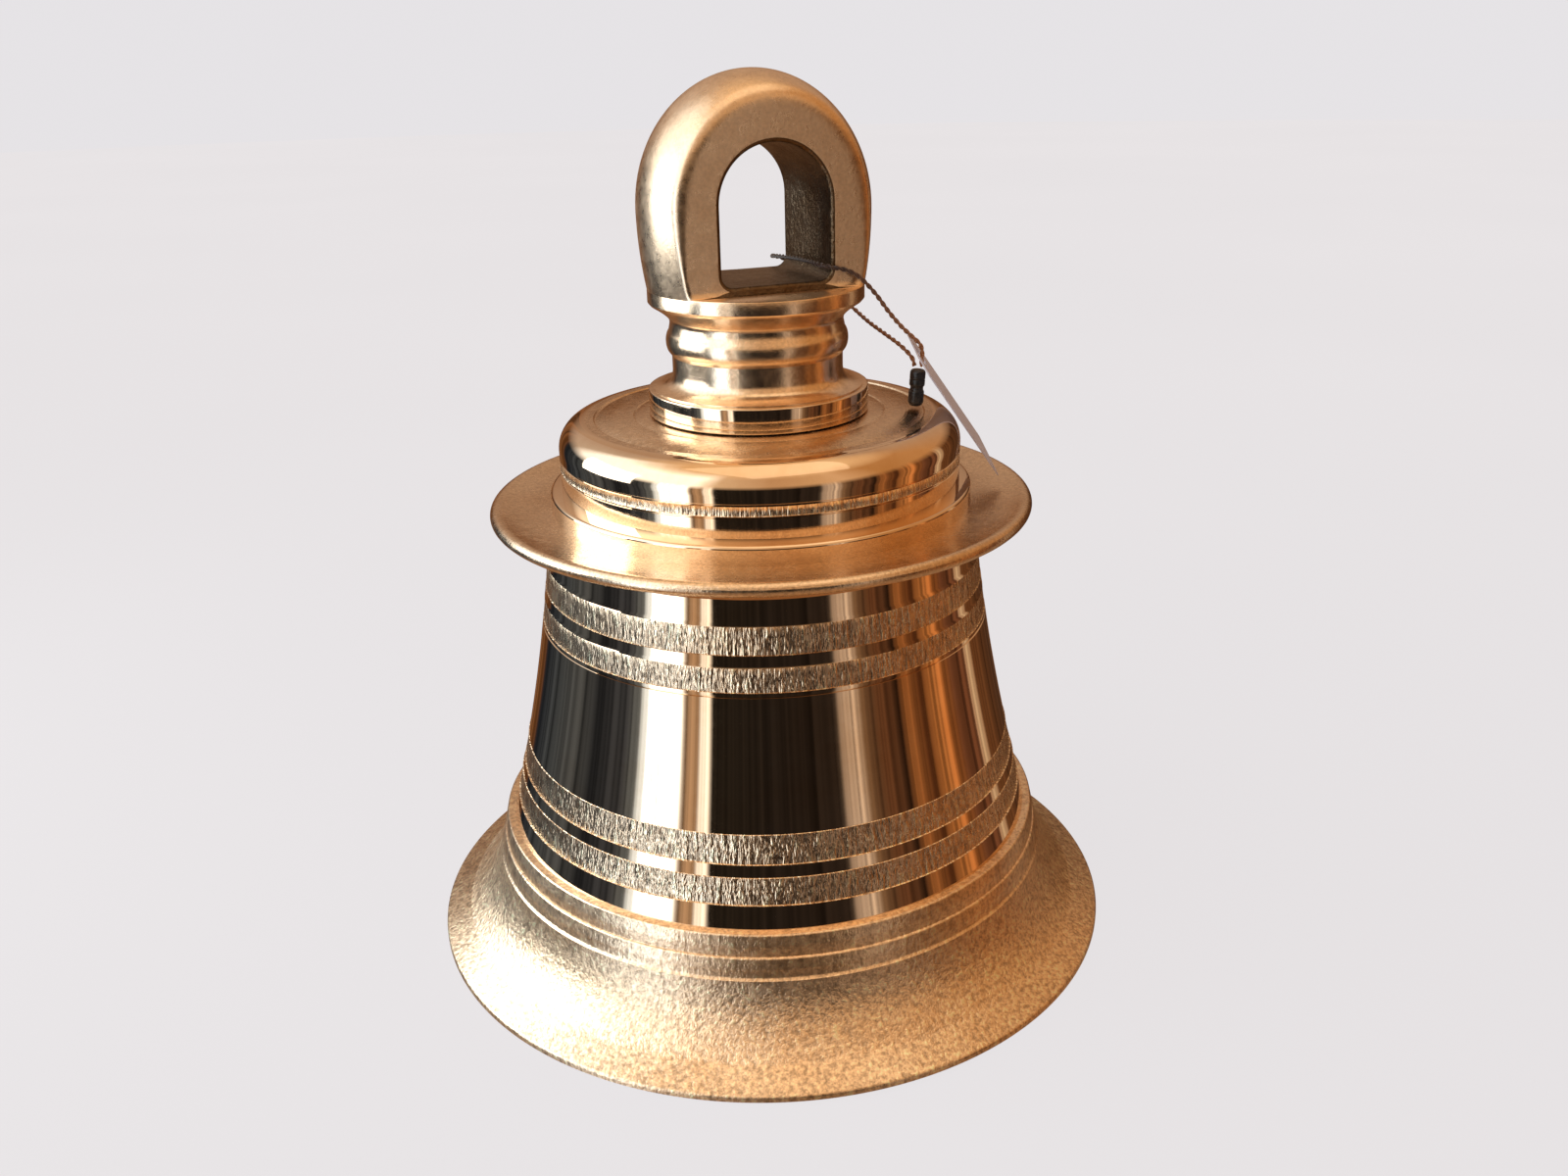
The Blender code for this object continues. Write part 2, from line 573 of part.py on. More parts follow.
def make_seal(mat):
    """The snap lock: a slim plastic barrel that stands on the shoulder, leaning a little."""
    foot = Vector((SEAL_FOOT[0] * MM, SEAL_FOOT[1] * MM, 0))
    foot.z = shoulder_height_at(foot.length) + 2 * GAP
    lean = Vector((SEAL_LEAN[0] * MM, SEAL_LEAN[1] * MM, SEAL_LENGTH)).normalized()
    neck = 0.72 * SEAL_RADIUS
    outline = [(0, 0), (neck, 0), (SEAL_RADIUS, 0.8 * MM), (SEAL_RADIUS, 0.42 * SEAL_LENGTH)]
    outline += [(neck + 0.2 * MM, 0.46 * SEAL_LENGTH), (neck + 0.2 * MM, 0.52 * SEAL_LENGTH)]
    outline += [(SEAL_RADIUS, 0.56 * SEAL_LENGTH), (SEAL_RADIUS, SEAL_LENGTH - 0.5 * MM)]
    outline += [(SEAL_RADIUS - 0.4 * MM, SEAL_LENGTH), (0, SEAL_LENGTH)]
    bm = turn(outline, 20, closed=False)
    tilt = Vector((0, 0, 1)).rotation_difference(lean).to_matrix().to_4x4()
    bmesh.ops.transform(bm, matrix=Matrix.Translation(foot) @ tilt, verts=bm.verts)
    finish("tag_seal", bm, mat)


def make_card(mat):
    """The stiff card, threaded on the cord just above the seal and leaning out over the flange."""
    fall = Vector(CARD_FALL).normalized()
    across = Vector(CARD_ACROSS)
    across = (across - across.dot(fall) * fall).normalized()
    normal = fall.cross(across)
    place = CORD_DATUM + Vector(CARD_HOLE_PLACE) * MM
    frame = Matrix((
        (fall.x, across.x, normal.x, place.x),
        (fall.y, across.y, normal.y, place.y),
        (fall.z, across.z, normal.z, place.z),
        (0, 0, 0, 1),
    ))
    half = CARD_WIDTH / 2
    top = -CARD_HOLE_MARGIN
    end = CARD_LENGTH - CARD_HOLE_MARGIN
    clip = 3.0 * MM
    outline = [(top + clip, -half), (end, -half), (end, half), (top + clip, half), (top, half - clip)]
    outline.append((top, -half + clip))
    thick = Matrix.Translation((0, 0, -CARD_THICKNESS / 2))
    card = finish("tag_card", prism(outline, CARD_THICKNESS, frame @ thick), mat)
    hole = arc(0, 0, CARD_HOLE_RADIUS, 0, 345, 23)
    deep = Matrix.Translation((0, 0, -5 * CARD_THICKNESS))
    cut(card, "cutter_card_hole", prism(hole, 10 * CARD_THICKNESS, frame @ deep))


def main():
    clear_scene()
    bronze = (0.62, 0.42, 0.22)
    make_shell(material("bell_bronze", bronze, 0.14, 1.0))
    make_crown(material("crown_bronze", bronze, 0.26, 1.0))
    steel = (0.55, 0.55, 0.56)
    washer(
        "head_washer", STUD_HOLE_RADIUS, WASHER_RADIUS, WASHER_TOP_Z, WASHER_THICKNESS,
        material("washer_steel", steel, 0.35, 1.0)
    )
    make_spring_washer(material("spring_steel", (0.30, 0.30, 0.31), 0.40, 1.0))
    hex_nut(
        "head_nut", NUT_ACROSS_FLATS, STUD_HOLE_RADIUS, NUT_TOP_Z, NUT_HEIGHT, material("nut_steel", steel, 0.32, 1.0)
    )
    make_staple(material("staple_iron", (0.34, 0.33, 0.32), 0.45, 1.0))
    make_link(material("link_iron", (0.36, 0.35, 0.34), 0.42, 1.0))
    make_rod(material("rod_iron", (0.34, 0.33, 0.32), 0.45, 1.0))
    make_ball(material("ball_bronze", bronze, 0.30, 1.0))
    hex_nut(
        "tail_nut", TAIL_NUT_ACROSS_FLATS, ROD_RADIUS + GAP, TAIL_NUT_TOP_Z, TAIL_NUT_HEIGHT,
        material("tail_nut_steel", steel, 0.32, 1.0)
    )
    make_cord(material("cord_brown", (0.22, 0.09, 0.04), 0.85, 0.0))
    make_seal(material("seal_black", (0.02, 0.02, 0.02), 0.35, 0.0))
    make_card(material("card_white", (0.80, 0.78, 0.80), 0.60, 0.0))


main()
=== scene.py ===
"""The finished look of a turned bronze temple bell, its clapper and its hang tag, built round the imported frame."""

import math

import bmesh
import bpy
from bpy.props import FloatProperty, FloatVectorProperty, PointerProperty
from mathutils import Matrix, Vector


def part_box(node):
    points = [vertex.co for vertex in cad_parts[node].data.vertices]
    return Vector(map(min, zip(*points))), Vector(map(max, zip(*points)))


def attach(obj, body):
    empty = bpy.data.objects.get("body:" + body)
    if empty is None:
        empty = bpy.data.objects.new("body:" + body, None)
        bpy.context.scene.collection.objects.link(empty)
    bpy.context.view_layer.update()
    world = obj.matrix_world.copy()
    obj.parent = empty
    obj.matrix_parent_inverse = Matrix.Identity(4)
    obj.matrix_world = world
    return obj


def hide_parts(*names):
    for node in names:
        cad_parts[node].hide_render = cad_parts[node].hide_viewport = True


bl_info = {
    "name": "Temple Bell Finish",
    "version": (1, 0, 0),
    "blender": (4, 5, 0),
    "location": "3D View > Sidebar > Bell",
    "description": "Builds a turned bronze temple bell, its clapper and its hang tag round a packed frame",
    "category": "Add Mesh",
}

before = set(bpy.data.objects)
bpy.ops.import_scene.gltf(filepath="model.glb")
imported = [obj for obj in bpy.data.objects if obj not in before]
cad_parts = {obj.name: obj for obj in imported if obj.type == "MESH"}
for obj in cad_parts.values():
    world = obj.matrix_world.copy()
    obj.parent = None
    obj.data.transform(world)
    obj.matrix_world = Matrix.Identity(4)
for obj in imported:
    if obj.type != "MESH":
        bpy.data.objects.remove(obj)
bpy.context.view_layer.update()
MM = 0.001
SHELL_STEPS = 288
CROWN_STEPS = 224
SMALL_STEPS = 64
COLLAR_RADIUS = 24.0 * MM
TAPPED_RADIUS = 4.3 * MM
TAPPED_DEPTH = 16.3 * MM


# ---- Settings ----
def size(name, description, millimetres):
    return FloatProperty(name=name, description=description, default=millimetres * MM, min=0.0, unit="LENGTH")


def colour(name, description, red, green, blue):
    return FloatVectorProperty(
        name=name, description=description, default=(red, green, blue), min=0.0, max=1.0, subtype="COLOR", size=3
    )


def top(node):
    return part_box(node)[1]


def foot(node):
    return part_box(node)[0]


class BellShellSettings(bpy.types.PropertyGroup):
    mouth_edge: size("Mouth edge", "Height of the upright edge of the mouth", 1.2)
    chamfer_width: size("Chamfer width", "Width of the chamfer round the mouth", 6.0)
    chamfer_height: size("Chamfer height", "Height of the chamfer round the mouth", 2.8)
    lip_height: size("Lip height", "Height of the flared lip above the chamfer", 13.8)
    lip_top_radius: size("Lip top radius", "Radius where the lip meets the steps", 65.4)
    step_height: size("Step height", "Height of each of the two low steps", 4.8)
    step_depth: size("Step depth", "How far each step stands in from the one below", 1.1)
    body_height: size("Body height", "Height of the body from the steps to the flange", 67.2)
    body_base_radius: size("Body base radius", "Radius of the body on the steps", 61.3)
    body_top_radius: size("Body top radius", "Radius of the body under the flange", 48.3)
    flange_radius: size("Flange radius", "Outer radius of the flange", 60.2)
    flange_rise: size("Flange rise", "Height from the body's top to the underside of the rim", 4.8)
    flange_thickness: size("Flange thickness", "Thickness of the flange's rolled rim", 2.9)
    flange_dish: size("Flange dish", "Depth of the dished top of the flange", 1.4)
    ridge_radius: size("Ridge radius", "Radius of the ridge at the foot of the shoulder", 46.8)
    ridge_height: size("Ridge height", "Height of the ridge at the foot of the shoulder", 4.1)
    shoulder_radius: size("Shoulder radius", "Radius of the shoulder's wall", 44.2)
    shoulder_height: size("Shoulder height", "Height of the shoulder above the ridge", 15.2)
    shoulder_round: size("Shoulder round", "Radius of the shoulder's rounded edge", 6.0)
    shoulder_crowning: size("Shoulder crowning", "Rise of the shoulder's top towards the crown", 0.5)
    chatter_relief: size("Chatter relief", "How far the chattered bands lie below the polish", 0.06)
    scribed_depth: size("Scribed depth", "Depth of the scribed lines", 0.22)
    wall: size("Wall", "Thickness of the body's wall", 4.6)
    lip_wall: size("Lip wall", "Width of the face that the bell stands on", 9.0)
    head_thickness: size("Head thickness", "Thickness of the head under the crown", 7.2)
    bore: size("Bore", "Radius of the hole for the stud", 4.3)


class CrownSettings(bpy.types.PropertyGroup):
    collar_height: size("Collar height", "Height of the foot collar", 5.4)
    stem_height: size("Stem height", "Height from the collar to the disc", 18.0)
    waist_radius: size("Waist radius", "Radius of the stem's waist", 18.5)
    bulge_radius: size("Bulge radius", "Radius of the ring round the stem", 19.7)
    bulge_half_height: size("Bulge half height", "Half the height of the ring round the stem", 2.3)
    disc_radius: size("Disc radius", "Radius of the disc under the eye", 23.2)
    eye_radius: size("Eye radius", "Widest radius of the egg that the eye is cut from", 24.6)
    eye_widest: size("Eye widest", "Height of the widest place above the ledge", 15.8)
    eye_thickness: size("Eye thickness", "Distance between the two milled faces", 25.8)
    edge_inside: size("Edge inside", "Where the soft edge starts, in from the milled face", 2.2)
    edge_outside: size("Edge outside", "Where the soft edge ends, past the milled face", 4.3)
    hole_width: size("Hole width", "Width of the arched hole", 24.0)
    hole_floor: size("Hole floor", "Height of the hole's floor above the ledge", 1.6)
    hole_top: size("Hole top", "Height of the hole's arch above the ledge", 29.4)
    hole_corner: size("Hole corner", "Radius of the hole's lower corners", 2.5)
    hole_edge: size("Hole edge", "Radius of the soft edge round the hole", 0.9)


class ClapperSettings(bpy.types.PropertyGroup):
    ring_bar: size("Ring bar", "Bar diameter of the staple's and the rod's rings", 5.0)
    ring_radius: size("Ring radius", "Radius of the rings at the middle of the bar", 7.0)
    link_bar: size("Link bar", "Bar diameter of the link", 4.0)
    link_end: size("Link end", "Radius of the link's ends at the middle of the bar", 5.0)
    stud_radius: size("Stud radius", "Radius of the staple's threaded stud", 4.0)
    stud_end: size("Stud end", "Height of the stud's lower end", 100.1)
    rod_radius: size("Rod radius", "Radius of the clapper's rod", 3.0)
    rod_collar: size("Rod collar", "Radius of the collar above the ball", 5.0)
    rod_collar_height: size("Rod collar height", "Height of the collar above the ball", 2.4)
    thread_pitch: size("Thread pitch", "Pitch of the stud's and the tail's threads", 1.0)
    thread_depth: size("Thread depth", "Depth of the threads", 0.35)
    fit: size("Fit", "Clearance round the rod and between pieces", 0.3)


class TagSettings(bpy.types.PropertyGroup):
    cord_diameter: size("Cord diameter", "Diameter of the two-ply cord", 1.0)
    ply_pitch: size("Ply pitch", "Length of one full turn of the two plies", 3.4)
    seal_radius: size("Seal radius", "Radius of the snap lock's barrel", 1.7)
    seal_length: size("Seal length", "Length of the snap lock", 8.0)
    card_length: size("Card length", "Length of the card", 37.0)
    card_width: size("Card width", "Width of the card", 16.0)
    card_thickness: size("Card thickness", "Thickness of the card", 0.3)
    card_hole: size("Card hole", "Radius of the card's hole", 2.6)
    card_margin: size("Card margin", "Distance from the card's end to the hole's centre", 4.0)
    card_clip: size("Card clip", "Length of the card's clipped corners", 3.0)


class FinishSettings(bpy.types.PropertyGroup):
    bronze: colour("Bronze", "Colour of the polished bronze", 0.90, 0.68, 0.47)
    tarnish: colour("Tarnish", "Colour that the bronze darkens to", 0.82, 0.58, 0.37)
    cast_bronze: colour("Cast bronze", "Colour of the bronze as cast", 0.30, 0.17, 0.08)
    steel: colour("Steel", "Colour of the plated nuts and washers", 0.58, 0.57, 0.55)
    iron: colour("Iron", "Colour of the forged clapper gear", 0.22, 0.20, 0.19)
    rust: colour("Rust", "Colour of the rust on the forged gear", 0.16, 0.07, 0.03)
    # The cord's two colours paint its shade and sheen: the darkest is its brown in painted shade by the eye, the
    # lightest its copper brown with painted sheen by the seal.
    cord_shaded_brown: colour("Cord dark", "Darkest colour of the cord", 0.035, 0.012, 0.006)
    cord_copper_and_sheen: colour("Cord light", "Lightest colour of the cord", 0.36, 0.14, 0.05)
    seal: colour("Seal", "Colour of the snap lock", 0.012, 0.012, 0.013)
    card: colour("Card", "Colour of the card", 0.60, 0.58, 0.68)
    floor: colour("Floor", "Colour of the floor", 0.79, 0.77, 0.79)


class StageSettings(bpy.types.PropertyGroup):
    camera_place: FloatVectorProperty(
        name="Camera place", description="Where the camera stands", default=(-0.10493, -0.27335, 0.1928), size=3,
        subtype="TRANSLATION", unit="LENGTH"
    )
    camera_turn: FloatVectorProperty(
        name="Camera turn", description="How the camera is turned",
        default=(math.radians(68.596), math.radians(1.15), math.radians(-22.36)), size=3, subtype="EULER"
    )
    lens: FloatProperty(
        name="Lens", description="Focal length on a 36 mm sensor, in millimetres", default=31.12, min=1.0
    )
    floor_radius: size("Floor radius", "Radius of the round floor", 4000.0)


# ---- Outline helpers ----
def arc(centre, radius, start_deg, end_deg, count):
    """Points on a round stretch of an outline, both ends included."""
    angles = [math.radians(start_deg + (end_deg - start_deg) * i / count) for i in range(count + 1)]
    return [(centre[0] + radius * math.cos(a), centre[1] + radius * math.sin(a)) for a in angles]


def bezier(start, handle, end, count):
    """Points on a quadratic curve, both ends included."""
    points = []
    for i in range(count + 1):
        t = i / count
        points.append(tuple(
            (1 - t) ** 2 * a + 2 * t * (1 - t) * b + t * t * c for a, b, c in zip(start, handle, end)
        ))
    return points


def soften(points, radius, count=3):
    """The same outline with its inner corners rounded."""
    made = [points[0]]
    for before, corner, after in zip(points, points[1:], points[2:]):
        here = Vector(corner)
        back = Vector(before) - here
        on = Vector(after) - here
        reach = min(radius, 0.45 * back.length, 0.45 * on.length)
        start = here + back.normalized() * reach
        end = here + on.normalized() * reach
        made += bezier(tuple(start), corner, tuple(end), count)
    return made + [points[-1]]


# ---- Mesh helpers ----
def add_mesh(bm, mesh):
    """Add a mesh to a bmesh, and remove the mesh."""
    bm.from_mesh(mesh)
    bpy.data.meshes.remove(mesh)


def add_bmesh(bm, other):
    """Move all of another bmesh into a bmesh."""
    mesh = bpy.data.meshes.new("run")
    other.to_mesh(mesh)
    other.free()
    add_mesh(bm, mesh)


def paint(bm, slot):
    for face in bm.faces:
        face.material_index = slot


def closed_loop(bm, points):
    """The vertices and edges of a new closed loop through points."""
    verts = [bm.verts.new(point) for point in points]
    return verts, [bm.edges.new(pair) for pair in zip(verts, verts[1:] + verts[:1])]


def edges_of(geometry):
    return [item for item in geometry if isinstance(item, bmesh.types.BMEdge)]


def turn(bm, points, steps, slot=0):
    """Spin an outline of (radius, height) points round Z and give its faces a material slot."""
    run = bmesh.new()
    verts = [run.verts.new((r, 0, z)) for r, z in points]
    edges = [run.edges.new(pair) for pair in zip(verts, verts[1:])]
    bmesh.ops.spin(
        run, geom=verts + edges, cent=(0, 0, 0), axis=(0, 0, 1), angle=math.tau, steps=steps, use_merge=True
    )
    paint(run, slot)
    add_bmesh(bm, run)


def turned(points, steps=SMALL_STEPS):
    bm = bmesh.new()
    turn(bm, points, steps)
    return bm


def finish_piece(name, bm, materials, body, nodes=(), sharp_deg=32.0, merge=0.004 * MM):
    """Close a bmesh, make it a smooth-shaded object, and hand it to the frame."""
    bmesh.ops.remove_doubles(bm, verts=bm.verts, dist=merge)
    bmesh.ops.dissolve_degenerate(bm, edges=bm.edges, dist=0.001 * MM)
    bmesh.ops.recalc_face_normals(bm, faces=bm.faces)
    mesh = bpy.data.meshes.new(name)
    bm.to_mesh(mesh)
    bm.free()
    for mat in materials:
        mesh.materials.append(mat)
    mesh.shade_smooth()
    mesh.set_sharp_from_angle(angle=math.radians(sharp_deg))
    obj = bpy.data.objects.new(name, mesh)
    bpy.context.scene.collection.objects.link(obj)
    if body:
        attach(obj, body)
    if nodes:
        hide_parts(*nodes)
    return obj


def apply_boolean(obj, guide, operation, sharp_deg):
    """Cut obj by guide, or join it with guide, for good, and remove the guide."""
    modifier = obj.modifiers.new("guide", "BOOLEAN")
    modifier.solver = "MANIFOLD"
    modifier.operation = operation
    modifier.object = guide
    graph = bpy.context.evaluated_depsgraph_get()
    mesh = bpy.data.meshes.new_from_object(obj.evaluated_get(graph), depsgraph=graph)
    obj.modifiers.clear()
    old = obj.data
    obj.data = mesh
    mesh.name = obj.name
    bpy.data.meshes.remove(old)
    bpy.data.objects.remove(guide)
    mesh.shade_smooth()
    mesh.set_sharp_from_angle(angle=math.radians(sharp_deg))


# ---- Material helpers ----
def node(tree, kind, sockets=None, **settings):
    """A shader node with its settings; a socket's value is a number or another node's output."""
    made = tree.nodes.new("ShaderNode" + kind)
    for key, value in settings.items():
        setattr(made, key, value)
    for key, value in (sockets or {}).items():
        if isinstance(value, bpy.types.NodeSocket):
            tree.links.new(value, made.inputs[key])
        else:
            made.inputs[key].default_value = value
    return made


def maths(tree, operation, first, second=0.0):
    return node(tree, "Math", {0: first, 1: second}, operation=operation).outputs[0]


def new_material(name, sockets):
    mat = bpy.data.materials.new(name)
    mat.use_nodes = True
    shader = mat.node_tree.nodes["Principled BSDF"]
    for key, value in sockets.items():
        shader.inputs[key].default_value = value
    return mat, mat.node_tree, shader


def wire(tree, shader, colour_in, roughness, bump):
    """Link a finish's colour, its roughness and its bump, as (height, strength, depth in millimetres)."""
    height, strength, depth = bump
    raised = node(tree, "Bump", {"Height": height, "Strength": strength, "Distance": depth * MM}).outputs[0]
    for key, output in (("Base Color", colour_in), ("Roughness", roughness), ("Normal", raised)):
        if output is not None:
            tree.links.new(output, shader.inputs[key])


def scaled(shade, share=1.0):
    return tuple(share * part for part in shade)


def ramp(tree, factor, stops):
    """A colour ramp with (place, colour) stops."""
    made = node(tree, "ValToRGB", {0: factor})
    elements = made.color_ramp.elements
    for element, (place, value) in zip(elements, (stops[0], stops[-1])):
        element.position = place
        element.color = (*value, 1.0)
    for place, value in stops[1:-1]:
        elements.new(place).color = (*value, 1.0)
    return made.outputs[0]


def mixed(tree, factor, first, second):
    """A mix of two colours, each an output or a colour without its alpha."""
    sockets = {"Factor": factor}
    for key, value in (("A", first), ("B", second)):
        sockets[key] = value if isinstance(value, bpy.types.NodeSocket) else (*value, 1.0)
    return node(tree, "Mix", sockets, data_type="RGBA").outputs["Result"]


def object_point(tree):
    return node(tree, "TexCoord").outputs["Object"]


def noise(tree, vector, scale, detail=2.0, roughness=0.5):
    return node(
        tree, "TexNoise", {"Vector": vector, "Scale": scale, "Detail": detail, "Roughness": roughness}
    ).outputs["Fac"]


def line_noise(tree, place, scale, roughness=0.5):
    """Noise along one line, three octaves deep."""
    return node(
        tree, "TexNoise", {"W": place, "Scale": scale, "Detail": 3.0, "Roughness": roughness}, noise_dimensions="1D"
    ).outputs["Fac"]


def stretched(tree, vector, x, y, z):
    return node(tree, "Mapping", {"Vector": vector, "Scale": (x, y, z)}).outputs[0]


def span(tree, value, low, high, new_low, new_high):
    return node(
        tree, "MapRange", {"Value": value, "From Min": low, "From Max": high, "To Min": new_low, "To Max": new_high}
    ).outputs[0]


def weighted(tree, *terms):
    """The sum of (output, weight) terms."""
    total = None
    for output, weight in terms:
        part = maths(tree, "MULTIPLY", output, weight)
        total = part if total is None else maths(tree, "ADD", total, part)
    return total


def bronze(name, finish, base_roughness, swing, lines=0.0, streaks=0.0, grain=0.0, painted_sparkle=0.0, strokes_and_painted_sheen=0.0,
           tint=1.0, anisotropy=0.5, grain_scale=1300.0):
    """Turned bronze: tarnish clouds, lathe lines, chatter streaks and grain, each as strong as asked; painted glints
    on the grain, and chatter streaks that are partly tool marks and partly painted reflection, lighten and darken its
    colour.
    """
    mat, tree, shader = new_material(name, {
        "Metallic": 1.0, "Anisotropic": anisotropy, "Anisotropic Rotation": 0.25
    })
    point = object_point(tree)
    x, y, z = node(tree, "SeparateXYZ", {0: point}).outputs
    flat = node(tree, "CombineXYZ", {0: x, 1: y}).outputs[0]
    radius = node(tree, "VectorMath", {0: flat}, operation="LENGTH").outputs["Value"]
    along = maths(tree, "SUBTRACT", z, radius)
    upright = node(tree, "CombineXYZ", {0: x, 1: y, 2: maths(tree, "MULTIPLY", along, 0.16)}).outputs[0]
    clouds = noise(tree, point, 38.0, 4.0, 0.6)
    specks = noise(tree, point, 420.0, 3.0, 0.6)
    lathe_lines = line_noise(tree, maths(tree, "MULTIPLY", along, 3200.0), 1.0)
    streak_noise = noise(tree, upright, 1050.0, 2.0, 0.7)
    grain_noise = noise(tree, point, grain_scale, 2.0, 0.7)
    tone = ramp(tree, weighted(tree, (clouds, 0.75), (specks, 0.25)),
                [(0.34, scaled(finish.tarnish)), (0.56, scaled(finish.bronze))])
    # Painted glints: grain specks lighten the colour where highlights would sparkle.
    painted_glints = maths(tree, "MULTIPLY", span(tree, grain_noise, 0.35, 0.65, -1.0, 1.0), painted_sparkle)
    # Lighter and darker along the chatter streaks: partly tool marks, partly painted streak reflections.
    streak_marks_and_painted_sheen = maths(tree, "MULTIPLY", span(tree, streak_noise, 0.36, 0.64, -1.0, 1.0), strokes_and_painted_sheen)
    light = maths(tree, "MULTIPLY", maths(tree, "ADD", tint, painted_glints), maths(tree, "ADD", 1.0, streak_marks_and_painted_sheen))
    grey = node(tree, "CombineXYZ", {0: light, 1: light, 2: light}).outputs[0]
    lit = node(tree, "VectorMath", {0: tone, 1: grey}, operation="MULTIPLY").outputs[0]
    rough = span(tree, specks, 0.3, 0.7, base_roughness - swing, base_roughness + swing)
    height = weighted(tree, (lathe_lines, lines), (streak_noise, streaks), (grain_noise, grain))
    wire(tree, shader, lit, rough, (height, 1.0, 0.1))
    tangent = node(tree, "Tangent", direction_type="RADIAL", axis="Z")
    tree.links.new(tangent.outputs[0], shader.inputs["Tangent"])
    return mat


def cast_bronze(name, finish, base_roughness, tint=1.0):
    """Bronze as it left the sand, darkened and only roughly scraped."""
    mat, tree, shader = new_material(name, {"Metallic": 1.0})
    point = object_point(tree)
    clouds = noise(tree, point, 90.0, 5.0, 0.65)
    pits = noise(tree, point, 900.0, 3.0, 0.7)
    tone = ramp(tree, clouds, [(0.35, scaled(finish.cast_bronze, tint)), (0.65, scaled(finish.tarnish, 0.6 * tint))])
    rough = span(tree, pits, 0.3, 0.7, base_roughness - 0.08, base_roughness + 0.1)
    wire(tree, shader, tone, rough, (weighted(tree, (clouds, 3.0), (pits, 1.0)), 0.8, 0.35))
    return mat


def plated_steel(name, finish):
    mat, tree, shader = new_material(name, {"Metallic": 1.0})
    point = object_point(tree)
    clouds = noise(tree, point, 160.0, 4.0, 0.6)
    scratches = noise(tree, stretched(tree, point, 1.0, 0.2, 1.0), 2600.0, 2.0, 0.6)
    tone = ramp(tree, clouds, [(0.3, scaled(finish.steel, 0.72)), (0.6, scaled(finish.steel))])
    wire(tree, shader, tone, span(tree, clouds, 0.3, 0.7, 0.22, 0.42), (scratches, 0.35, 0.05))
    return mat


def forged_iron(name, finish):
    """Blackened iron with forging scale and a bloom of rust."""
    mat, tree, shader = new_material(name, {})
    point = object_point(tree)
    clouds = noise(tree, point, 130.0, 5.0, 0.65)
    scale = noise(tree, point, 700.0, 4.0, 0.6)
    rusty = span(tree, clouds, 0.5, 0.62, 0.0, 1.0)
    tree.links.new(span(tree, rusty, 0.0, 1.0, 0.95, 0.35), shader.inputs["Metallic"])
    wire(tree, shader, mixed(tree, rusty, finish.iron, finish.rust), span(tree, scale, 0.3, 0.7, 0.38, 0.62),
         (weighted(tree, (clouds, 1.5), (scale, 1.0)), 0.7, 0.2))
    return mat


# ---- Camera and cord ----
class BELL_OT_camera(bpy.types.Operator):
    """Set up the camera"""

    bl_idname = "bell.camera"
    bl_label = "Camera"

    def execute(self, context):
        stage = context.scene.bell_stage
        data = bpy.data.cameras.new("camera")
        data.lens = stage.lens
        data.sensor_width = 36.0
        data.clip_start = 0.01
        data.clip_end = 50.0
        camera = bpy.data.objects.new("camera", data)
        camera.location = stage.camera_place
        camera.rotation_euler = stage.camera_turn
        context.scene.collection.objects.link(camera)
        context.scene.camera = camera
        return {"FINISHED"}


# The cord's route in metres, from the ledge under the eye: front strand, through the eye, back strand.
CORD_ROUTE = [
    (0.0324, -0.0145, -0.0182), (0.0325, -0.0146, -0.0165), (0.0324, -0.0148, -0.0148), (0.0317, -0.0150, -0.0132),
    (0.0298, -0.0151, -0.0114), (0.0272, -0.0150, -0.0090), (0.0242, -0.0151, -0.0057), (0.0208, -0.0152, -0.0014),
    (0.0172, -0.0151, 0.0022), (0.0142, -0.0149, 0.0038), (0.0116, -0.0143, 0.0044), (0.0101, -0.0122, 0.0047),
    (0.0099, -0.0080, 0.0048), (0.0101, 0.0020, 0.0045), (0.0097, 0.0100, 0.0040), (0.0099, 0.0148, 0.0035),
    (0.0120, 0.0174, 0.0029), (0.0160, 0.0180, 0.0014), (0.0208, 0.0166, -0.0016), (0.0248, 0.0128, -0.0056),
    (0.0269, 0.0076, -0.0088), (0.0277, 0.0018, -0.0108), (0.0286, -0.0040, -0.0124), (0.0298, -0.0094, -0.0142),
    (0.0310, -0.0125, -0.0163), (0.0315, -0.0131, -0.0182),
]
LEDGE_Z = 0.1478
SEAL_FOOT = (0.0315, -0.0137)
SEAL_LEAN = (0.00055, -0.0001)
CARD_HOLE_PLACE = (0.0325, -0.0146, -0.0165)
CARD_FALL = (0.617, 0.147, -0.773)
CARD_ACROSS = (0.478, 0.845, -0.240)
CARD_TWIST = math.radians(5.0)
SEAL_DUST = (0.06, 0.055, 0.055)


def smooth_route(points, steps):
    """A smooth curve through the route's points."""
    padded = [2 * points[0] - points[1]] + points + [2 * points[-1] - points[-2]]
    made = []
    for a, b, c, d in zip(padded, padded[1:], padded[2:], padded[3:]):
        for i in range(steps):
            t = i / steps
            made.append(0.5 * (
                2 * b + (c - a) * t + (2 * a - 5 * b + 4 * c - d) * t * t + (3 * b - a - 3 * c + d) * t ** 3
            ))
    return made + [points[-1]]


def twisted(route, offset, pitch, phase):
    """One ply's line, wound round the route at an offset."""
    side = (route[1] - route[0]).orthogonal().normalized()
    run = 0.0
    made = []
    for i, here in enumerate(route):
        along = (route[min(i + 1, len(route) - 1)] - route[max(i - 1, 0)]).normalized()
        side = (side - side.dot(along) * along).normalized()
        other = along.cross(side)
        if i:
            run += (here - route[i - 1]).length
        angle = math.tau * run / pitch + phase
        made.append(here + offset * (math.cos(angle) * side + math.sin(angle) * other))
    return made


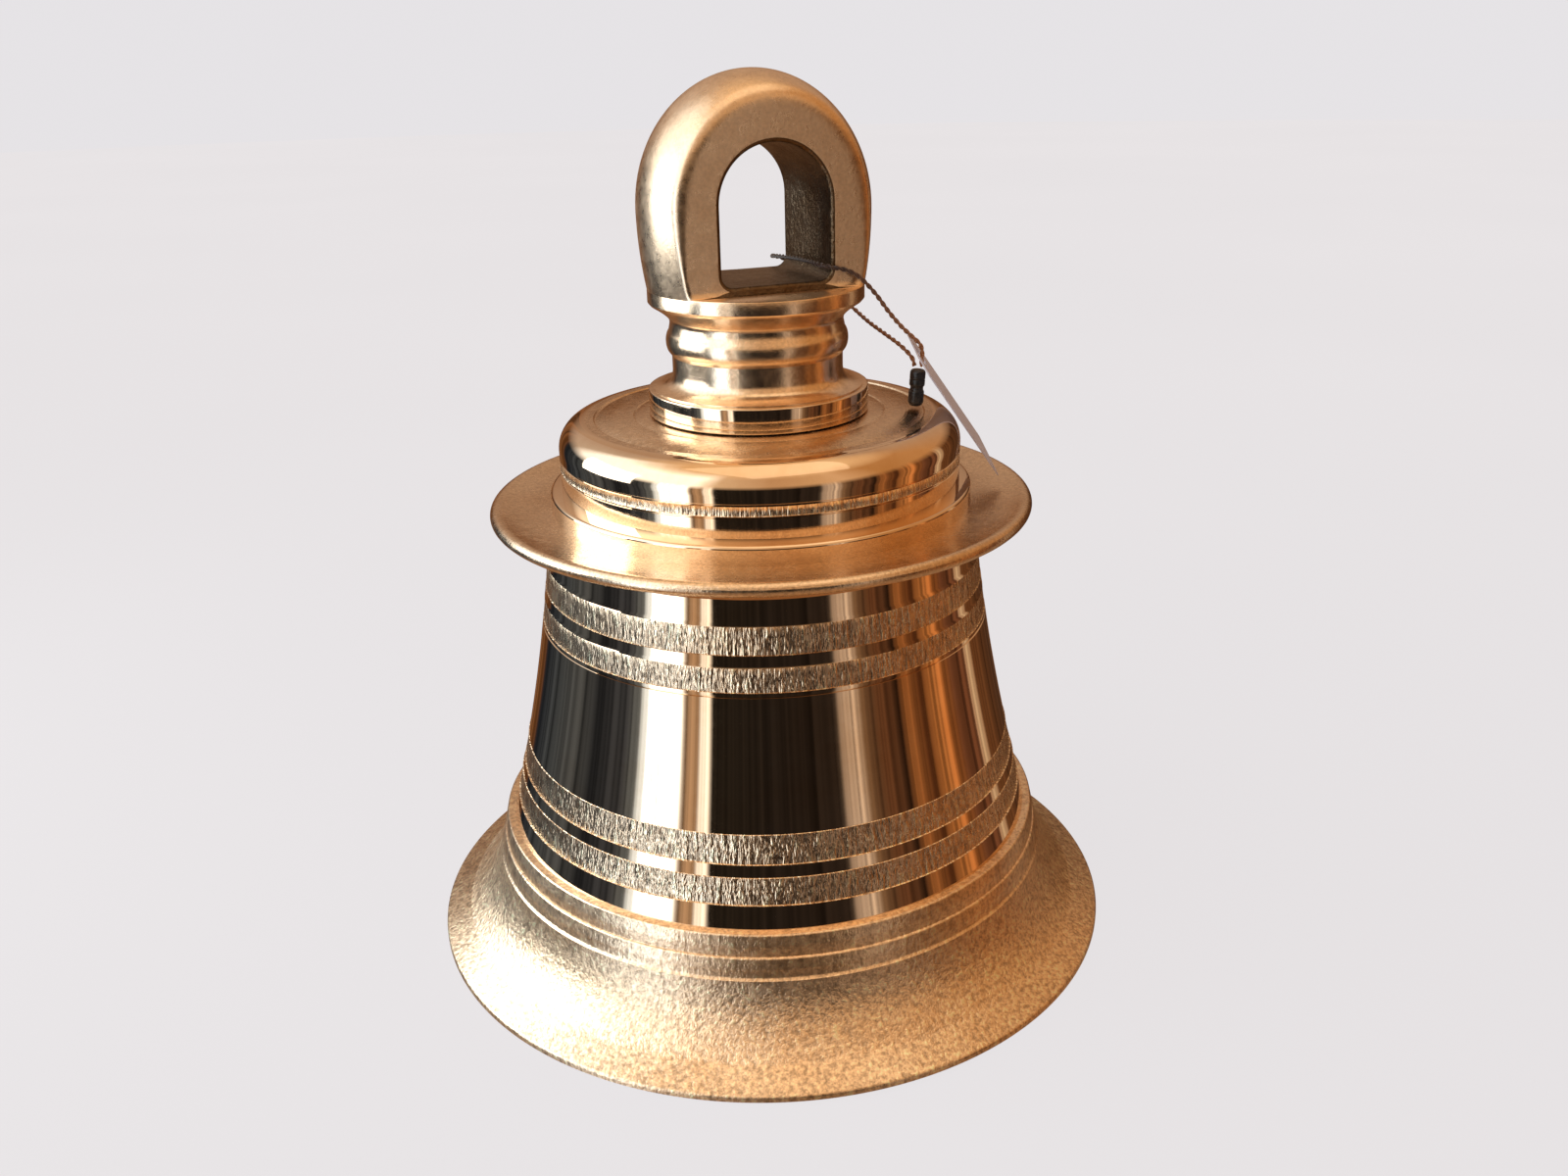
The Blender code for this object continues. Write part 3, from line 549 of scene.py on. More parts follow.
def tube_mesh(name, points, radius, sides, cyclic=False):
    """A mesh tube along points, made from a curve."""
    curve = bpy.data.curves.new(name, "CURVE")
    curve.dimensions = "3D"
    curve.bevel_depth = radius
    curve.bevel_resolution = sides
    curve.use_fill_caps = not cyclic
    spline = curve.splines.new("POLY")
    spline.points.add(len(points) - 1)
    spline.use_cyclic_u = cyclic
    for slot, point in zip(spline.points, points):
        slot.co = (*point, 1.0)
    holder = bpy.data.objects.new(name, curve)
    mesh = bpy.data.meshes.new_from_object(holder)
    bpy.data.objects.remove(holder)
    bpy.data.curves.remove(curve)
    return mesh


def thread_material(finish):
    """Silky two-ply thread, near black with painted shade by the eye and coppery with painted sheen by the seal."""
    mat, tree, shader = new_material("cord_thread", {"Roughness": 0.42, "Sheen Weight": 0.25})
    point = object_point(tree)
    x = node(tree, "SeparateXYZ", {0: point}).outputs[0]
    fibres = noise(tree, stretched(tree, point, 1.0, 1.0, 0.4), 3600.0, 3.0, 0.6)
    # Painted shade by the eye, turning to painted copper sheen towards the seal, along x.
    shade_to_sheen_toward_seal = span(tree, x, 0.014, 0.032, 0.0, 0.75)
    factor = maths(tree, "MULTIPLY", shade_to_sheen_toward_seal, span(tree, fibres, 0.3, 0.7, 0.55, 1.2))
    tone = ramp(tree, factor, [(0.0, scaled(finish.cord_shaded_brown)), (0.8, scaled(finish.cord_copper_and_sheen))])
    wire(tree, shader, tone, None, (fibres, 0.6, 0.08))
    return mat


def seal_material(finish):
    mat, tree, shader = new_material("seal_plastic", {"Specular IOR Level": 0.5})
    point = object_point(tree)
    grain = noise(tree, point, 1900.0, 3.0, 0.6)
    dust = noise(tree, point, 260.0, 4.0, 0.7)
    tone = ramp(tree, dust, [(0.45, scaled(finish.seal)), (0.85, SEAL_DUST)])
    wire(tree, shader, tone, span(tree, grain, 0.3, 0.7, 0.24, 0.42), (grain, 0.3, 0.05))
    return mat


def card_material(finish):
    """Coated card: faint fibre mottling under a light gloss."""
    mat, tree, shader = new_material("tag_card_stock", {"Coat Weight": 0.25, "Coat Roughness": 0.2})
    point = object_point(tree)
    fibre = noise(tree, stretched(tree, point, 1.0, 1.0, 0.3), 1500.0, 4.0, 0.7)
    mottle = noise(tree, point, 120.0, 3.0, 0.6)
    mix = weighted(tree, (fibre, 0.4), (mottle, 0.6))
    tone = ramp(tree, mix, [(0.35, scaled(finish.card, 0.86)), (0.62, scaled(finish.card))])
    wire(tree, shader, tone, span(tree, fibre, 0.3, 0.7, 0.42, 0.6), (fibre, 0.25, 0.03))
    return mat


def build_seal(tag, finish):
    """The snap lock: a slim barrel with a waist, a snap ring and a mould line."""
    place = Vector((*SEAL_FOOT, foot("tag_seal").z))
    lean = Vector((*SEAL_LEAN, tag.seal_length)).normalized()
    r, long = tag.seal_radius, tag.seal_length
    neck = 0.72 * r
    outline = [(0, 0), (neck, 0), (r, 0.8 * MM), (r, 0.40 * long), (neck + 0.2 * MM, 0.45 * long)]
    outline += [(neck + 0.2 * MM, 0.53 * long), (r, 0.57 * long), (r, 0.72 * long), (r - 0.12 * MM, 0.735 * long)]
    outline += [(r, 0.75 * long), (r, long - 0.5 * MM), (r - 0.4 * MM, long), (0, long)]
    bm = turned(soften(outline, 0.25 * MM), 40)
    tilt = Vector((0, 0, 1)).rotation_difference(lean).to_matrix().to_4x4()
    bmesh.ops.transform(bm, matrix=Matrix.Translation(place) @ tilt, verts=bm.verts)
    low = min(vert.co.z for vert in bm.verts)
    bmesh.ops.translate(bm, vec=(0, 0, foot("tag_seal").z - low), verts=bm.verts)
    return finish_piece("seal_barrel", bm, [seal_material(finish)], "bell", ["tag_seal"])


def build_card(tag, finish):
    """The stiff card with clipped corners and a punched hole."""
    fall = Vector(CARD_FALL).normalized()
    across = Vector(CARD_ACROSS)
    across = (across - across.dot(fall) * fall).normalized()
    across = Matrix.Rotation(CARD_TWIST, 3, fall) @ across
    normal = fall.cross(across)
    place = Vector((0, 0, LEDGE_Z)) + Vector(CARD_HOLE_PLACE)
    turn_to = Matrix((fall, across, normal)).transposed().to_4x4()
    half, end, start = tag.card_width / 2, tag.card_length - tag.card_margin, -tag.card_margin
    outline = [(start + tag.card_clip, -half), (end, -half), (end, half), (start + tag.card_clip, half)]
    outline += [(start, half - tag.card_clip), (start, -half + tag.card_clip)]
    bm = bmesh.new()
    edges = []
    for loop in (outline, arc((0, 0), tag.card_hole, 0, 352.5, 47)):
        edges += closed_loop(bm, [(x, y, 0) for x, y in loop])[1]
    bmesh.ops.triangle_fill(bm, use_beauty=True, edges=edges)
    thick = tag.card_thickness
    grown = bmesh.ops.extrude_face_region(bm, geom=bm.faces[:])
    bmesh.ops.translate(bm, vec=(0, 0, thick), verts=[v for v in grown["geom"] if isinstance(v, bmesh.types.BMVert)])
    bmesh.ops.transform(
        bm, matrix=Matrix.Translation(place) @ turn_to @ Matrix.Translation((0, 0, -thick / 2)), verts=bm.verts
    )
    return finish_piece("card_tag", bm, [card_material(finish)], "bell", ["tag_card"])


class BELL_OT_tag(bpy.types.Operator):
    """Make the twisted cord with its seal and its card"""

    bl_idname = "bell.tag"
    bl_label = "Hang tag"

    def execute(self, context):
        tag = context.scene.bell_tag
        finish = context.scene.bell_finish
        route = smooth_route([Vector(p) + Vector((0, 0, LEDGE_Z)) for p in CORD_ROUTE], 14)
        bm = bmesh.new()
        for phase in (0.0, math.pi):
            line = twisted(route, 0.24 * tag.cord_diameter, tag.ply_pitch, phase)
            add_mesh(bm, tube_mesh("ply", line, 0.27 * tag.cord_diameter, 3))
        cord = finish_piece(
            "cord_thread", bm, [thread_material(finish)], "bell", ["tag_cord"], 60.0, 0.0005 * MM
        )
        seal = build_seal(tag, finish)
        card = build_card(tag, finish)
        return {"FINISHED"}


# ---- Shell ----
# The turned bands of the body from the steps up: the finish, and the height where it ends.
POLISHED, CHATTERED, LIP, STEPS, CHAMFER, DISHED, CAST, MOUTH = range(8)
BODY_BANDS = [
    (POLISHED, 32.2), (CHATTERED, 38.0), (POLISHED, 40.5), (CHATTERED, 46.8), (POLISHED, 75.6), (CHATTERED, 80.6),
    (POLISHED, 83.2), (CHATTERED, 89.0), (POLISHED, 94.6),
]
SCRIBED_HEIGHT = 74.8 * MM
BODY_BASE_SLOPE = 0.27
BODY_TOP_SLOPE = 0.10


def shell_levels(s):
    """The heights that the shell's sizes add up to."""
    chamfer = s.mouth_edge + s.chamfer_height
    lip = chamfer + s.lip_height
    base = lip + 2 * s.step_height
    body = base + s.body_height
    rim = body + s.flange_rise + s.flange_thickness
    dish = rim - s.flange_dish
    ridge = dish + s.ridge_height
    return chamfer, lip, base, body, rim, dish, ridge, ridge + s.shoulder_height


def body_curve(s, inset, count):
    """The body's slightly hollow flank, from its base up, set in by a wall thickness."""
    base_z, top_z = shell_levels(s)[2:4]
    start = (s.body_base_radius - inset, base_z)
    end = (s.body_top_radius - inset, top_z)
    rise = (start[0] - end[0] + BODY_TOP_SLOPE * (base_z - top_z)) / (BODY_BASE_SLOPE - BODY_TOP_SLOPE)
    return bezier(start, (start[0] - BODY_BASE_SLOPE * rise, base_z + rise), end, count)


def radius_at(curve, height):
    """The radius of a curve of rising points at a height."""
    for (r0, z0), (r1, z1) in zip(curve, curve[1:]):
        if z0 <= height <= z1:
            return r0 + (r1 - r0) * (height - z0) / (z1 - z0)
    return curve[0][0] if height < curve[0][1] else curve[-1][0]


def body_runs(s):
    """The body's bands: chattered ones lie a little below the polish, and one line is scribed."""
    curve = body_curve(s, 0, 400)
    runs = []
    start_z = shell_levels(s)[2]
    for kind, end_mm in BODY_BANDS:
        end_z = end_mm * MM
        sunk = s.chatter_relief if kind == CHATTERED else 0.0
        count = max(2, round((end_z - start_z) / (0.9 * MM)))
        heights = [start_z + (end_z - start_z) * i / count for i in range(count + 1)]
        points = [(radius_at(curve, z) - sunk, z) for z in heights]
        if sunk:
            points = [(radius_at(curve, start_z), start_z)] + points[1:-1] + [(radius_at(curve, end_z), end_z)]
            points[1] = (points[1][0], start_z + 0.1 * MM)
            points[-2] = (points[-2][0], end_z - 0.1 * MM)
        elif start_z < SCRIBED_HEIGHT < end_z:
            near = [(dz * MM, d) for dz, d in ((-0.22, 0), (-0.08, 1), (0.08, 1), (0.22, 0))]
            points = [p for p in points if abs(p[1] - SCRIBED_HEIGHT) > 0.3 * MM]
            groove = [
                (radius_at(curve, SCRIBED_HEIGHT + dz) - d * s.scribed_depth, SCRIBED_HEIGHT + dz) for dz, d in near
            ]
            points = sorted(points + groove, key=lambda p: p[1])
        runs.append((kind, points))
        start_z = end_z
    return runs


def shell_runs(s):
    """The shell's closed outline from the mouth up and back down inside, as (finish, points) runs."""
    mouth = top("bell_shell").x
    chamfer_z, lip_z, base_z, body_z, rim_z, dish_z, ridge_z, head_z = shell_levels(s)
    chamfer_r = mouth - s.chamfer_width
    runs = [(CHAMFER, soften([(mouth, 0), (mouth, s.mouth_edge), (chamfer_r, chamfer_z)], 0.5 * MM, 4))]
    flare = (s.lip_top_radius + 0.15 * (chamfer_r - s.lip_top_radius), chamfer_z + 0.42 * s.lip_height)
    runs.append((LIP, bezier((chamfer_r, chamfer_z), flare, (s.lip_top_radius, lip_z), 26)))
    steps = [(s.lip_top_radius, lip_z)]
    for i in range(2):
        r = s.lip_top_radius - (i + 0.5) * s.step_depth
        z = lip_z + i * s.step_height
        steps += [(r, z + 0.1 * s.step_height), (r - 0.1 * MM, z + 0.5 * s.step_height)]
        steps += arc((r - s.step_depth, z + s.step_height - s.step_depth / 2), s.step_depth / 2, 0, 90, 6)
    steps.append((s.body_base_radius, base_z))
    runs.append((STEPS, soften(steps, 0.25 * MM, 2)))
    runs += body_runs(s)
    rim = s.flange_thickness / 2
    under = [(s.body_top_radius, body_z), (s.body_top_radius + 1.2 * MM, body_z + 1.2 * MM)]
    edge = arc((s.flange_radius - rim, rim_z - rim), rim, -90, 90, 14)
    runs.append((POLISHED, soften(under + edge[:1], 0.6 * MM, 3)))
    runs.append((DISHED, edge))
    dish = bezier(
        (s.flange_radius - 1.6 * rim, rim_z - 0.1 * rim), ((s.flange_radius + s.ridge_radius) / 2,
                                                           dish_z - 0.2 * s.flange_dish), (s.ridge_radius, dish_z), 18
    )
    runs.append((DISHED, edge[-1:] + dish))
    ridge = [(s.ridge_radius, dish_z)] + arc((s.ridge_radius - 0.8 * MM, ridge_z - 0.8 * MM), 0.8 * MM, 0, 90, 6)
    runs.append((POLISHED, ridge + [(s.shoulder_radius, ridge_z)]))
    runs += shoulder_runs(s, ridge_z, head_z)
    inner = s.shoulder_radius - s.wall
    under_head = head_z - s.head_thickness
    cavity = [(s.bore, head_z + s.shoulder_crowning), (s.bore, under_head)]
    cavity += arc((inner - 5 * MM, under_head - 5 * MM), 5 * MM, 90, 0, 8) + [(inner, dish_z)]
    cavity += list(reversed(body_curve(s, s.wall, 24)))
    last = cavity[-1]
    stand = (mouth - s.lip_wall, 0)
    cavity += bezier(last, (last[0] + 0.22 * (stand[0] - last[0]), 0.42 * last[1]), stand, 20)[1:]
    runs.append((CAST, cavity))
    runs.append((MOUTH, [stand, (stand[0] + s.lip_wall / 2, 0), (mouth, 0)]))
    return runs


def shoulder_runs(s, ridge_z, head_z):
    """The shoulder's wall with a thin chattered band, its rounded edge, and its top with a turned step."""
    r = s.shoulder_radius
    low, high = ridge_z + 5.2 * MM, ridge_z + 7.2 * MM
    groove = s.scribed_depth
    wall = [(r, ridge_z), (r, low - 0.5 * MM), (r - groove, low - 0.35 * MM), (r - groove, low - 0.2 * MM), (r, low)]
    runs = [(POLISHED, wall)]
    sunk = r - s.chatter_relief
    runs.append((CHATTERED, [(r, low), (sunk, low + 0.1 * MM), (sunk, high - 0.1 * MM), (r, high)]))
    round_edge = arc((r - s.shoulder_round, head_z - s.shoulder_round), s.shoulder_round, 0, 90, 20)
    upper = [(r, high), (r - groove, high + 0.15 * MM), (r - groove, high + 0.3 * MM), (r, high + 0.5 * MM)]
    runs.append((POLISHED, upper + round_edge))
    edge_r = r - s.shoulder_round
    inner_r = COLLAR_RADIUS
    rise = s.shoulder_crowning / (edge_r - inner_r)
    top_line = [(edge_r, head_z)]
    for radius, depth in ((36.4, 0.0), (36.1, 0.3), (35.7, 0.3), (35.2, 0.0), (27.6, 0.0), (27.4, 0.16), (27.0, 0.0)):
        top_line.append((radius * MM, head_z + rise * (edge_r - radius * MM) - depth * MM))
    runs.append((DISHED, top_line + [(inner_r, head_z + s.shoulder_crowning), (s.bore, head_z + s.shoulder_crowning)]))
    return runs


class BELL_OT_shell(bpy.types.Operator):
    """Turn the bronze shell with its polished and chattered bands"""

    bl_idname = "bell.shell"
    bl_label = "Bell shell"

    def execute(self, context):
        finish = context.scene.bell_finish
        bm = bmesh.new()
        for kind, points in shell_runs(context.scene.bell_shell):
            turn(bm, points, SHELL_STEPS, kind)
        materials = [
            bronze("bronze_polished", finish, 0.05, 0.012, lines=0.02, anisotropy=0.45),
            bronze("bronze_chattered", finish, 0.26, 0.05, streaks=5.0, painted_sparkle=0.08, strokes_and_painted_sheen=0.32, anisotropy=0.0),
            bronze("bronze_lip", finish, 0.38, 0.06, grain=2.2, streaks=0.5, painted_sparkle=0.32, strokes_and_painted_sheen=0.14,
                   anisotropy=0.0, grain_scale=1000.0),
            bronze("bronze_steps", finish, 0.34, 0.05, grain=1.2, streaks=0.8, painted_sparkle=0.26, strokes_and_painted_sheen=0.12,
                   grain_scale=1000.0),
            bronze("bronze_chamfer", finish, 0.38, 0.05, grain=1.4, painted_sparkle=0.34, strokes_and_painted_sheen=0.20, grain_scale=1000.0),
            bronze("bronze_dish", finish, 0.24, 0.06, lines=0.3, grain=0.5, painted_sparkle=0.14, tint=0.9, anisotropy=0.5),
            cast_bronze("bronze_cast", finish, 0.42),
            bronze("bronze_mouth", finish, 0.34, 0.05, lines=0.6),
        ]
        finish_piece("shell_bell", bm, materials, "bell", ["bell_shell"], 38.0)
        return {"FINISHED"}


# ---- Crown ----
CROWN_BRIGHT, EYE_SATIN, EYE_MILLED, EYE_HOLE, STEM = range(5)


def crown_outline(s):
    """Half of the turned blank: the tapped hole, foot, stem and disc, up to the ledge that the egg stands on."""
    base_z = foot("crown_eye").z
    collar_z = base_z + s.collar_height
    disc_z = collar_z + s.stem_height
    collar_r = COLLAR_RADIUS
    waist_r = s.waist_radius
    tapped_z = base_z + TAPPED_DEPTH
    points = [(0, tapped_z), (TAPPED_RADIUS, tapped_z), (TAPPED_RADIUS, base_z)]
    points += soften([
        (TAPPED_RADIUS, base_z), (collar_r, base_z), (collar_r, collar_z), (collar_r - 1.2 * MM, collar_z)
    ], 0.3 * MM)[1:]
    points += bezier(
        (collar_r - 1.2 * MM, collar_z + 0.3 * MM), (waist_r, collar_z + 0.6 * MM),
        (waist_r, collar_z + 0.22 * s.stem_height), 14
    )
    bulge_z = collar_z + 0.56 * s.stem_height
    points.append((waist_r, bulge_z - 1.3 * s.bulge_half_height))
    for i in range(13):
        lift = -1 + i / 6
        bulge = (s.bulge_radius - waist_r) * math.sqrt(1 - 0.8 * lift * lift)
        points.append((waist_r + bulge, bulge_z + lift * s.bulge_half_height))
    neck_z = collar_z + 0.78 * s.stem_height
    points.append((waist_r + 0.2 * MM, neck_z))
    points += bezier(
        (waist_r + 0.3 * MM, neck_z + 0.8 * MM), (waist_r + 1.2 * MM, neck_z + 0.55 * (disc_z - neck_z)),
        (s.disc_radius - 0.5 * MM, disc_z), 10
    )
    points += [(s.disc_radius, disc_z + 0.6 * MM), (s.disc_radius, LEDGE_Z - 0.3 * MM)]
    points += [(s.disc_radius - 0.1 * MM, LEDGE_Z - 0.08 * MM), (s.disc_radius - 0.25 * MM, LEDGE_Z)]
    return points


def egg_outline(s):
    """The egg above the ledge, up to the pole."""
    egg_z = LEDGE_Z + s.eye_widest
    lower = s.eye_widest / math.sqrt(1 - (s.disc_radius / s.eye_radius) ** 2)
    upper = top("crown_eye").z - egg_z
    points = []
    start = -math.degrees(math.acos((s.disc_radius - 0.25 * MM) / s.eye_radius))
    for i in range(22):
        a = math.radians(start * (1 - i / 22))
        points.append((s.eye_radius * math.cos(a), egg_z + lower * math.sin(a)))
    points[0] = (points[0][0], LEDGE_Z)
    points.insert(1, (points[0][0] + 0.02 * MM, LEDGE_Z + 0.25 * MM))
    for i in range(65):
        a = math.radians(90 * i / 64)
        points.append((s.eye_radius * math.cos(a), egg_z + upper * math.sin(a)))
    points[-1] = (0, top("crown_eye").z)
    return points


def mill_flats(bm, s):
    """Press the egg between two milled faces, with a soft edge that runs into a small fillet at the ledge."""
    face_y = s.eye_thickness / 2
    fillet = 0.9 * MM
    for vert in bm.verts:
        above = vert.co.z - LEDGE_Z
        y = abs(vert.co.y)
        limit = face_y
        if above < fillet:
            limit += fillet - math.sqrt(max(0.0, fillet ** 2 - (fillet - above) ** 2))
        tight = min(1.0, max(0.25, above / (18 * MM)))
        inside, outside = s.edge_inside * tight, s.edge_outside * tight
        if y > limit - inside:
            reach = inside + outside
            u = min(1.0, (y - limit + inside) / reach)
            pressed = limit - inside + inside * (3 * u * u - 2 * u ** 3) + reach * (u ** 3 - 2 * u * u + u)
            vert.co.y = math.copysign(min(y, pressed), vert.co.y)


def hole_outline(s, grown):
    """The arched hole in X and Z, grown outwards by a little."""
    half = s.hole_width / 2 + grown
    corner = s.hole_corner + grown
    floor_z = LEDGE_Z + s.hole_floor - grown
    arch_z = LEDGE_Z + s.hole_top - s.hole_width / 2
    points = arc((-half + corner, floor_z + corner), corner, 180, 270, 10)
    points += arc((half - corner, floor_z + corner), corner, 270, 360, 10)
    side = [(half, floor_z + corner + (arch_z - floor_z - corner) * i / 8) for i in range(1, 8)]
    points += side + arc((0, arch_z), half, 0, 180, 72)
    return points + [(-x, z) for x, z in reversed(side)]


def hole_cutter(s):
    """The hole's shape, flared at both ends so that it leaves a soft edge."""
    bm = bmesh.new()
    face_y = s.eye_thickness / 2
    stations = []
    for i in range(7):
        a = math.radians(13.5 * i)
        stations.append((face_y - s.hole_edge * (1 - math.sin(a)), s.hole_edge * (1 - math.cos(a))))
    last_y, last_grown = stations[-1]
    stations.append((last_y + 1.0 * MM, last_grown + 1.0 * MM * math.tan(math.radians(81))))
    stations = [(-y, g) for y, g in reversed(stations)] + stations
    loops = []
    for y, grown in stations:
        loops.append(closed_loop(bm, [(x, y, z) for x, z in hole_outline(s, grown)])[1])
    for here, there in zip(loops, loops[1:]):
        bmesh.ops.bridge_loops(bm, edges=here + there)
    bmesh.ops.edgeloop_fill(bm, edges=loops[0])
    bmesh.ops.edgeloop_fill(bm, edges=loops[-1])
    return bm


class BELL_OT_crown(bpy.types.Operator):
    """Turn the crown, mill its flats and cut its eye"""

    bl_idname = "bell.crown"
    bl_label = "Crown eye"

    def execute(self, context):
        s = context.scene.bell_crown
        finish = context.scene.bell_finish
        materials = [
            bronze("crown_polished", finish, 0.06, 0.015, lines=0.01, anisotropy=0.4),
            bronze("crown_eye_satin", finish, 0.30, 0.05, grain=0.3, painted_sparkle=0.08, anisotropy=0.1),
            bronze("crown_milled", finish, 0.36, 0.05, grain=0.25, lines=0.2, painted_sparkle=0.08, anisotropy=0.1, tint=0.86),
            # The hole's wall: cast bronze, with its colour darkened to 0.42 as painted shade inside the hole.
            cast_bronze("crown_cast_painted_shade", finish, 0.36, 0.42),
            bronze("crown_stem", finish, 0.22, 0.05, lines=0.05, grain=0.2, painted_sparkle=0.08, anisotropy=0.2),
        ]
        bm = bmesh.new()
        turn(bm, crown_outline(s), CROWN_STEPS, CROWN_BRIGHT)
        collar_top = foot("crown_eye").z + s.collar_height - 0.3 * MM
        for face in bm.faces:
            if face.calc_center_median().z > collar_top:
                face.material_index = STEM
        egg = bmesh.new()
        turn(egg, egg_outline(s), CROWN_STEPS, EYE_SATIN)
        mill_flats(egg, s)
        for face in egg.faces:
            if abs(face.normal.y) > 0.98 and abs(face.calc_center_median().y) > s.eye_thickness / 2 - 0.2 * MM:
                face.material_index = EYE_MILLED
        add_bmesh(bm, egg)
        close_ledge(bm)
        crown = finish_piece("eye_crown", bm, materials, "bell", ["crown_eye"], 34.0)
        cutter = hole_cutter(s)
        paint(cutter, EYE_HOLE)
        guide = finish_piece("hole_guide", cutter, materials, None)
        apply_boolean(crown, guide, "DIFFERENCE", 34.0)
        return {"FINISHED"}


def close_ledge(bm):
    """Fill the crescents between the disc's rim and the feet of the milled faces."""
    bmesh.ops.remove_doubles(bm, verts=bm.verts, dist=0.02 * MM)
    loose = [edge for edge in bm.edges if edge.is_boundary]
    made = bmesh.ops.holes_fill(bm, edges=loose, sides=0)
    for face in made["faces"]:
        face.material_index = EYE_SATIN


# ---- Fastenings ----
def hex_nut(name, node_name, bore, materials, body):
    """A hexagon nut: a turned ring with chamfered corners, trimmed by six flats."""
    low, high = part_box(node_name)
    flats = (high.x - low.x) / 2
    corner = flats / math.cos(math.radians(30))
    height = high.z - low.z
    trim = 0.12 * height
    outline = [(bore + 0.5 * MM, high.z), (bore, high.z - 0.5 * MM), (bore, low.z + 0.5 * MM)]
    outline += [(bore + 0.5 * MM, low.z), (flats * 0.97, low.z), (corner, low.z + trim), (corner, high.z - trim)]
    outline += [(flats * 0.97, high.z), (bore + 0.5 * MM, high.z)]
    bm = turned(outline, 96)
    bmesh.ops.remove_doubles(bm, verts=bm.verts, dist=0.01 * MM)
    for i in range(6):
        across = Vector((math.cos(math.radians(60 * i)), math.sin(math.radians(60 * i)), 0))
        geom = bm.verts[:] + bm.edges[:] + bm.faces[:]
        cut = bmesh.ops.bisect_plane(bm, geom=geom, plane_co=across * flats, plane_no=across, clear_outer=True)
        bmesh.ops.edgeloop_fill(bm, edges=edges_of(cut["geom_cut"]))
    finish_piece(name, bm, materials, body, [node_name], 24.0)


def build_spring_washer(materials, bore):
    """A split spring washer: its ring stops short of a full turn, and both ends are closed."""
    low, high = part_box("spring_washer")
    outer = -low.x
    outline = [(bore, low.z), (outer, low.z), (outer, high.z), (bore, high.z), (bore, low.z)]
    outline = soften(outline, 0.3 * MM)
    slit = 2 * math.asin(0.7 * MM / outer)
    bm = bmesh.new()
    verts, edges = closed_loop(bm, [(r, 0, z) for r, z in outline[:-1]])
    bmesh.ops.rotate(bm, cent=(0, 0, 0), matrix=Matrix.Rotation(slit / 2, 3, "Z"), verts=verts)
    spun = bmesh.ops.spin(
        bm, geom=verts + edges, cent=(0, 0, 0), axis=(0, 0, 1), angle=math.tau - slit, steps=80, use_merge=False
    )
    for rim in (edges, edges_of(spun["geom_last"])):
        bmesh.ops.edgeloop_fill(bm, edges=rim)
    finish_piece("washer_spring", bm, materials, "bell", ["spring_washer"], 30.0)


class BELL_OT_fastenings(bpy.types.Operator):
    """Make the washers and the nut that clamp the crown to the shell"""

    bl_idname = "bell.fastenings"
    bl_label = "Head fastenings"

    def execute(self, context):
        finish = context.scene.bell_finish
        steel = plated_steel("steel_plated", finish)
        bore = context.scene.bell_clapper.stud_radius + context.scene.bell_clapper.fit
        low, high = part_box("head_washer")
        outline = [(bore, low.z), (high.x, low.z), (high.x, high.z), (bore, high.z), (bore, low.z)]
        bm = turned(soften(outline, 0.35 * MM), 96)
        finish_piece("washer_head", bm, [steel], "bell", ["head_washer"])
        build_spring_washer([plated_steel("steel_spring", finish)], bore)
        hex_nut("nut_head", "head_nut", bore, [steel], "bell")
        return {"FINISHED"}


# ---- Clapper ----
def threaded(radius, start_z, end_z, pitch, depth):
    """The outline of a threaded stretch, from start_z to end_z, as rings of the thread's pitch."""
    points = []
    count = max(1, round(abs(end_z - start_z) / pitch))
    step = (end_z - start_z) / count
    for i in range(count):
        z = start_z + i * step
        points += [(radius - depth, z), (radius, z + 0.35 * step), (radius, z + 0.65 * step)]
    return points + [(radius - depth, end_z)]


def add_ring(obj, s, centre_z, materials):
    """Join a forged ring to a turned shank."""
    bm = bmesh.new()
    circle = bmesh.ops.create_circle(
        bm, segments=32, radius=s.ring_bar / 2, matrix=Matrix.Translation((0, s.ring_radius, 0)) @ Matrix.Rotation(
            math.pi / 2, 4, "Y") @ Matrix.Rotation(math.pi / 2, 4, "X")
    )
    edges = list({edge for vert in circle["verts"] for edge in vert.link_edges})
    bmesh.ops.spin(
        bm, geom=circle["verts"] + edges, cent=(0, 0, 0), axis=(1, 0, 0), angle=math.tau, steps=96, use_merge=True
    )
    bmesh.ops.translate(bm, vec=(0, 0, centre_z), verts=bm.verts)
    guide = finish_piece("ring_guide", bm, materials, None)
    apply_boolean(obj, guide, "UNION", 40.0)


def build_link(s, materials):
    """The oval welded link: two half turns of round bar joined by straight runs."""
    low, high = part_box("clapper_link")
    half_bar = s.link_bar / 2
    top_z = high.z - half_bar - s.link_end
    low_z = low.z + half_bar + s.link_end
    path = arc((0, top_z), s.link_end, 0, 180, 40)
    path += [(-s.link_end, top_z + (low_z - top_z) * i / 8) for i in range(1, 8)]
    path += arc((0, low_z), s.link_end, 180, 360, 40)
    path += [(s.link_end, low_z + (top_z - low_z) * i / 8) for i in range(1, 8)]
    bm = bmesh.new()
    add_mesh(bm, tube_mesh("link", [(x, 0, z) for x, z in path], half_bar, 7, cyclic=True))
    finish_piece("link_oval", bm, materials, "link", ["clapper_link"], 60.0)


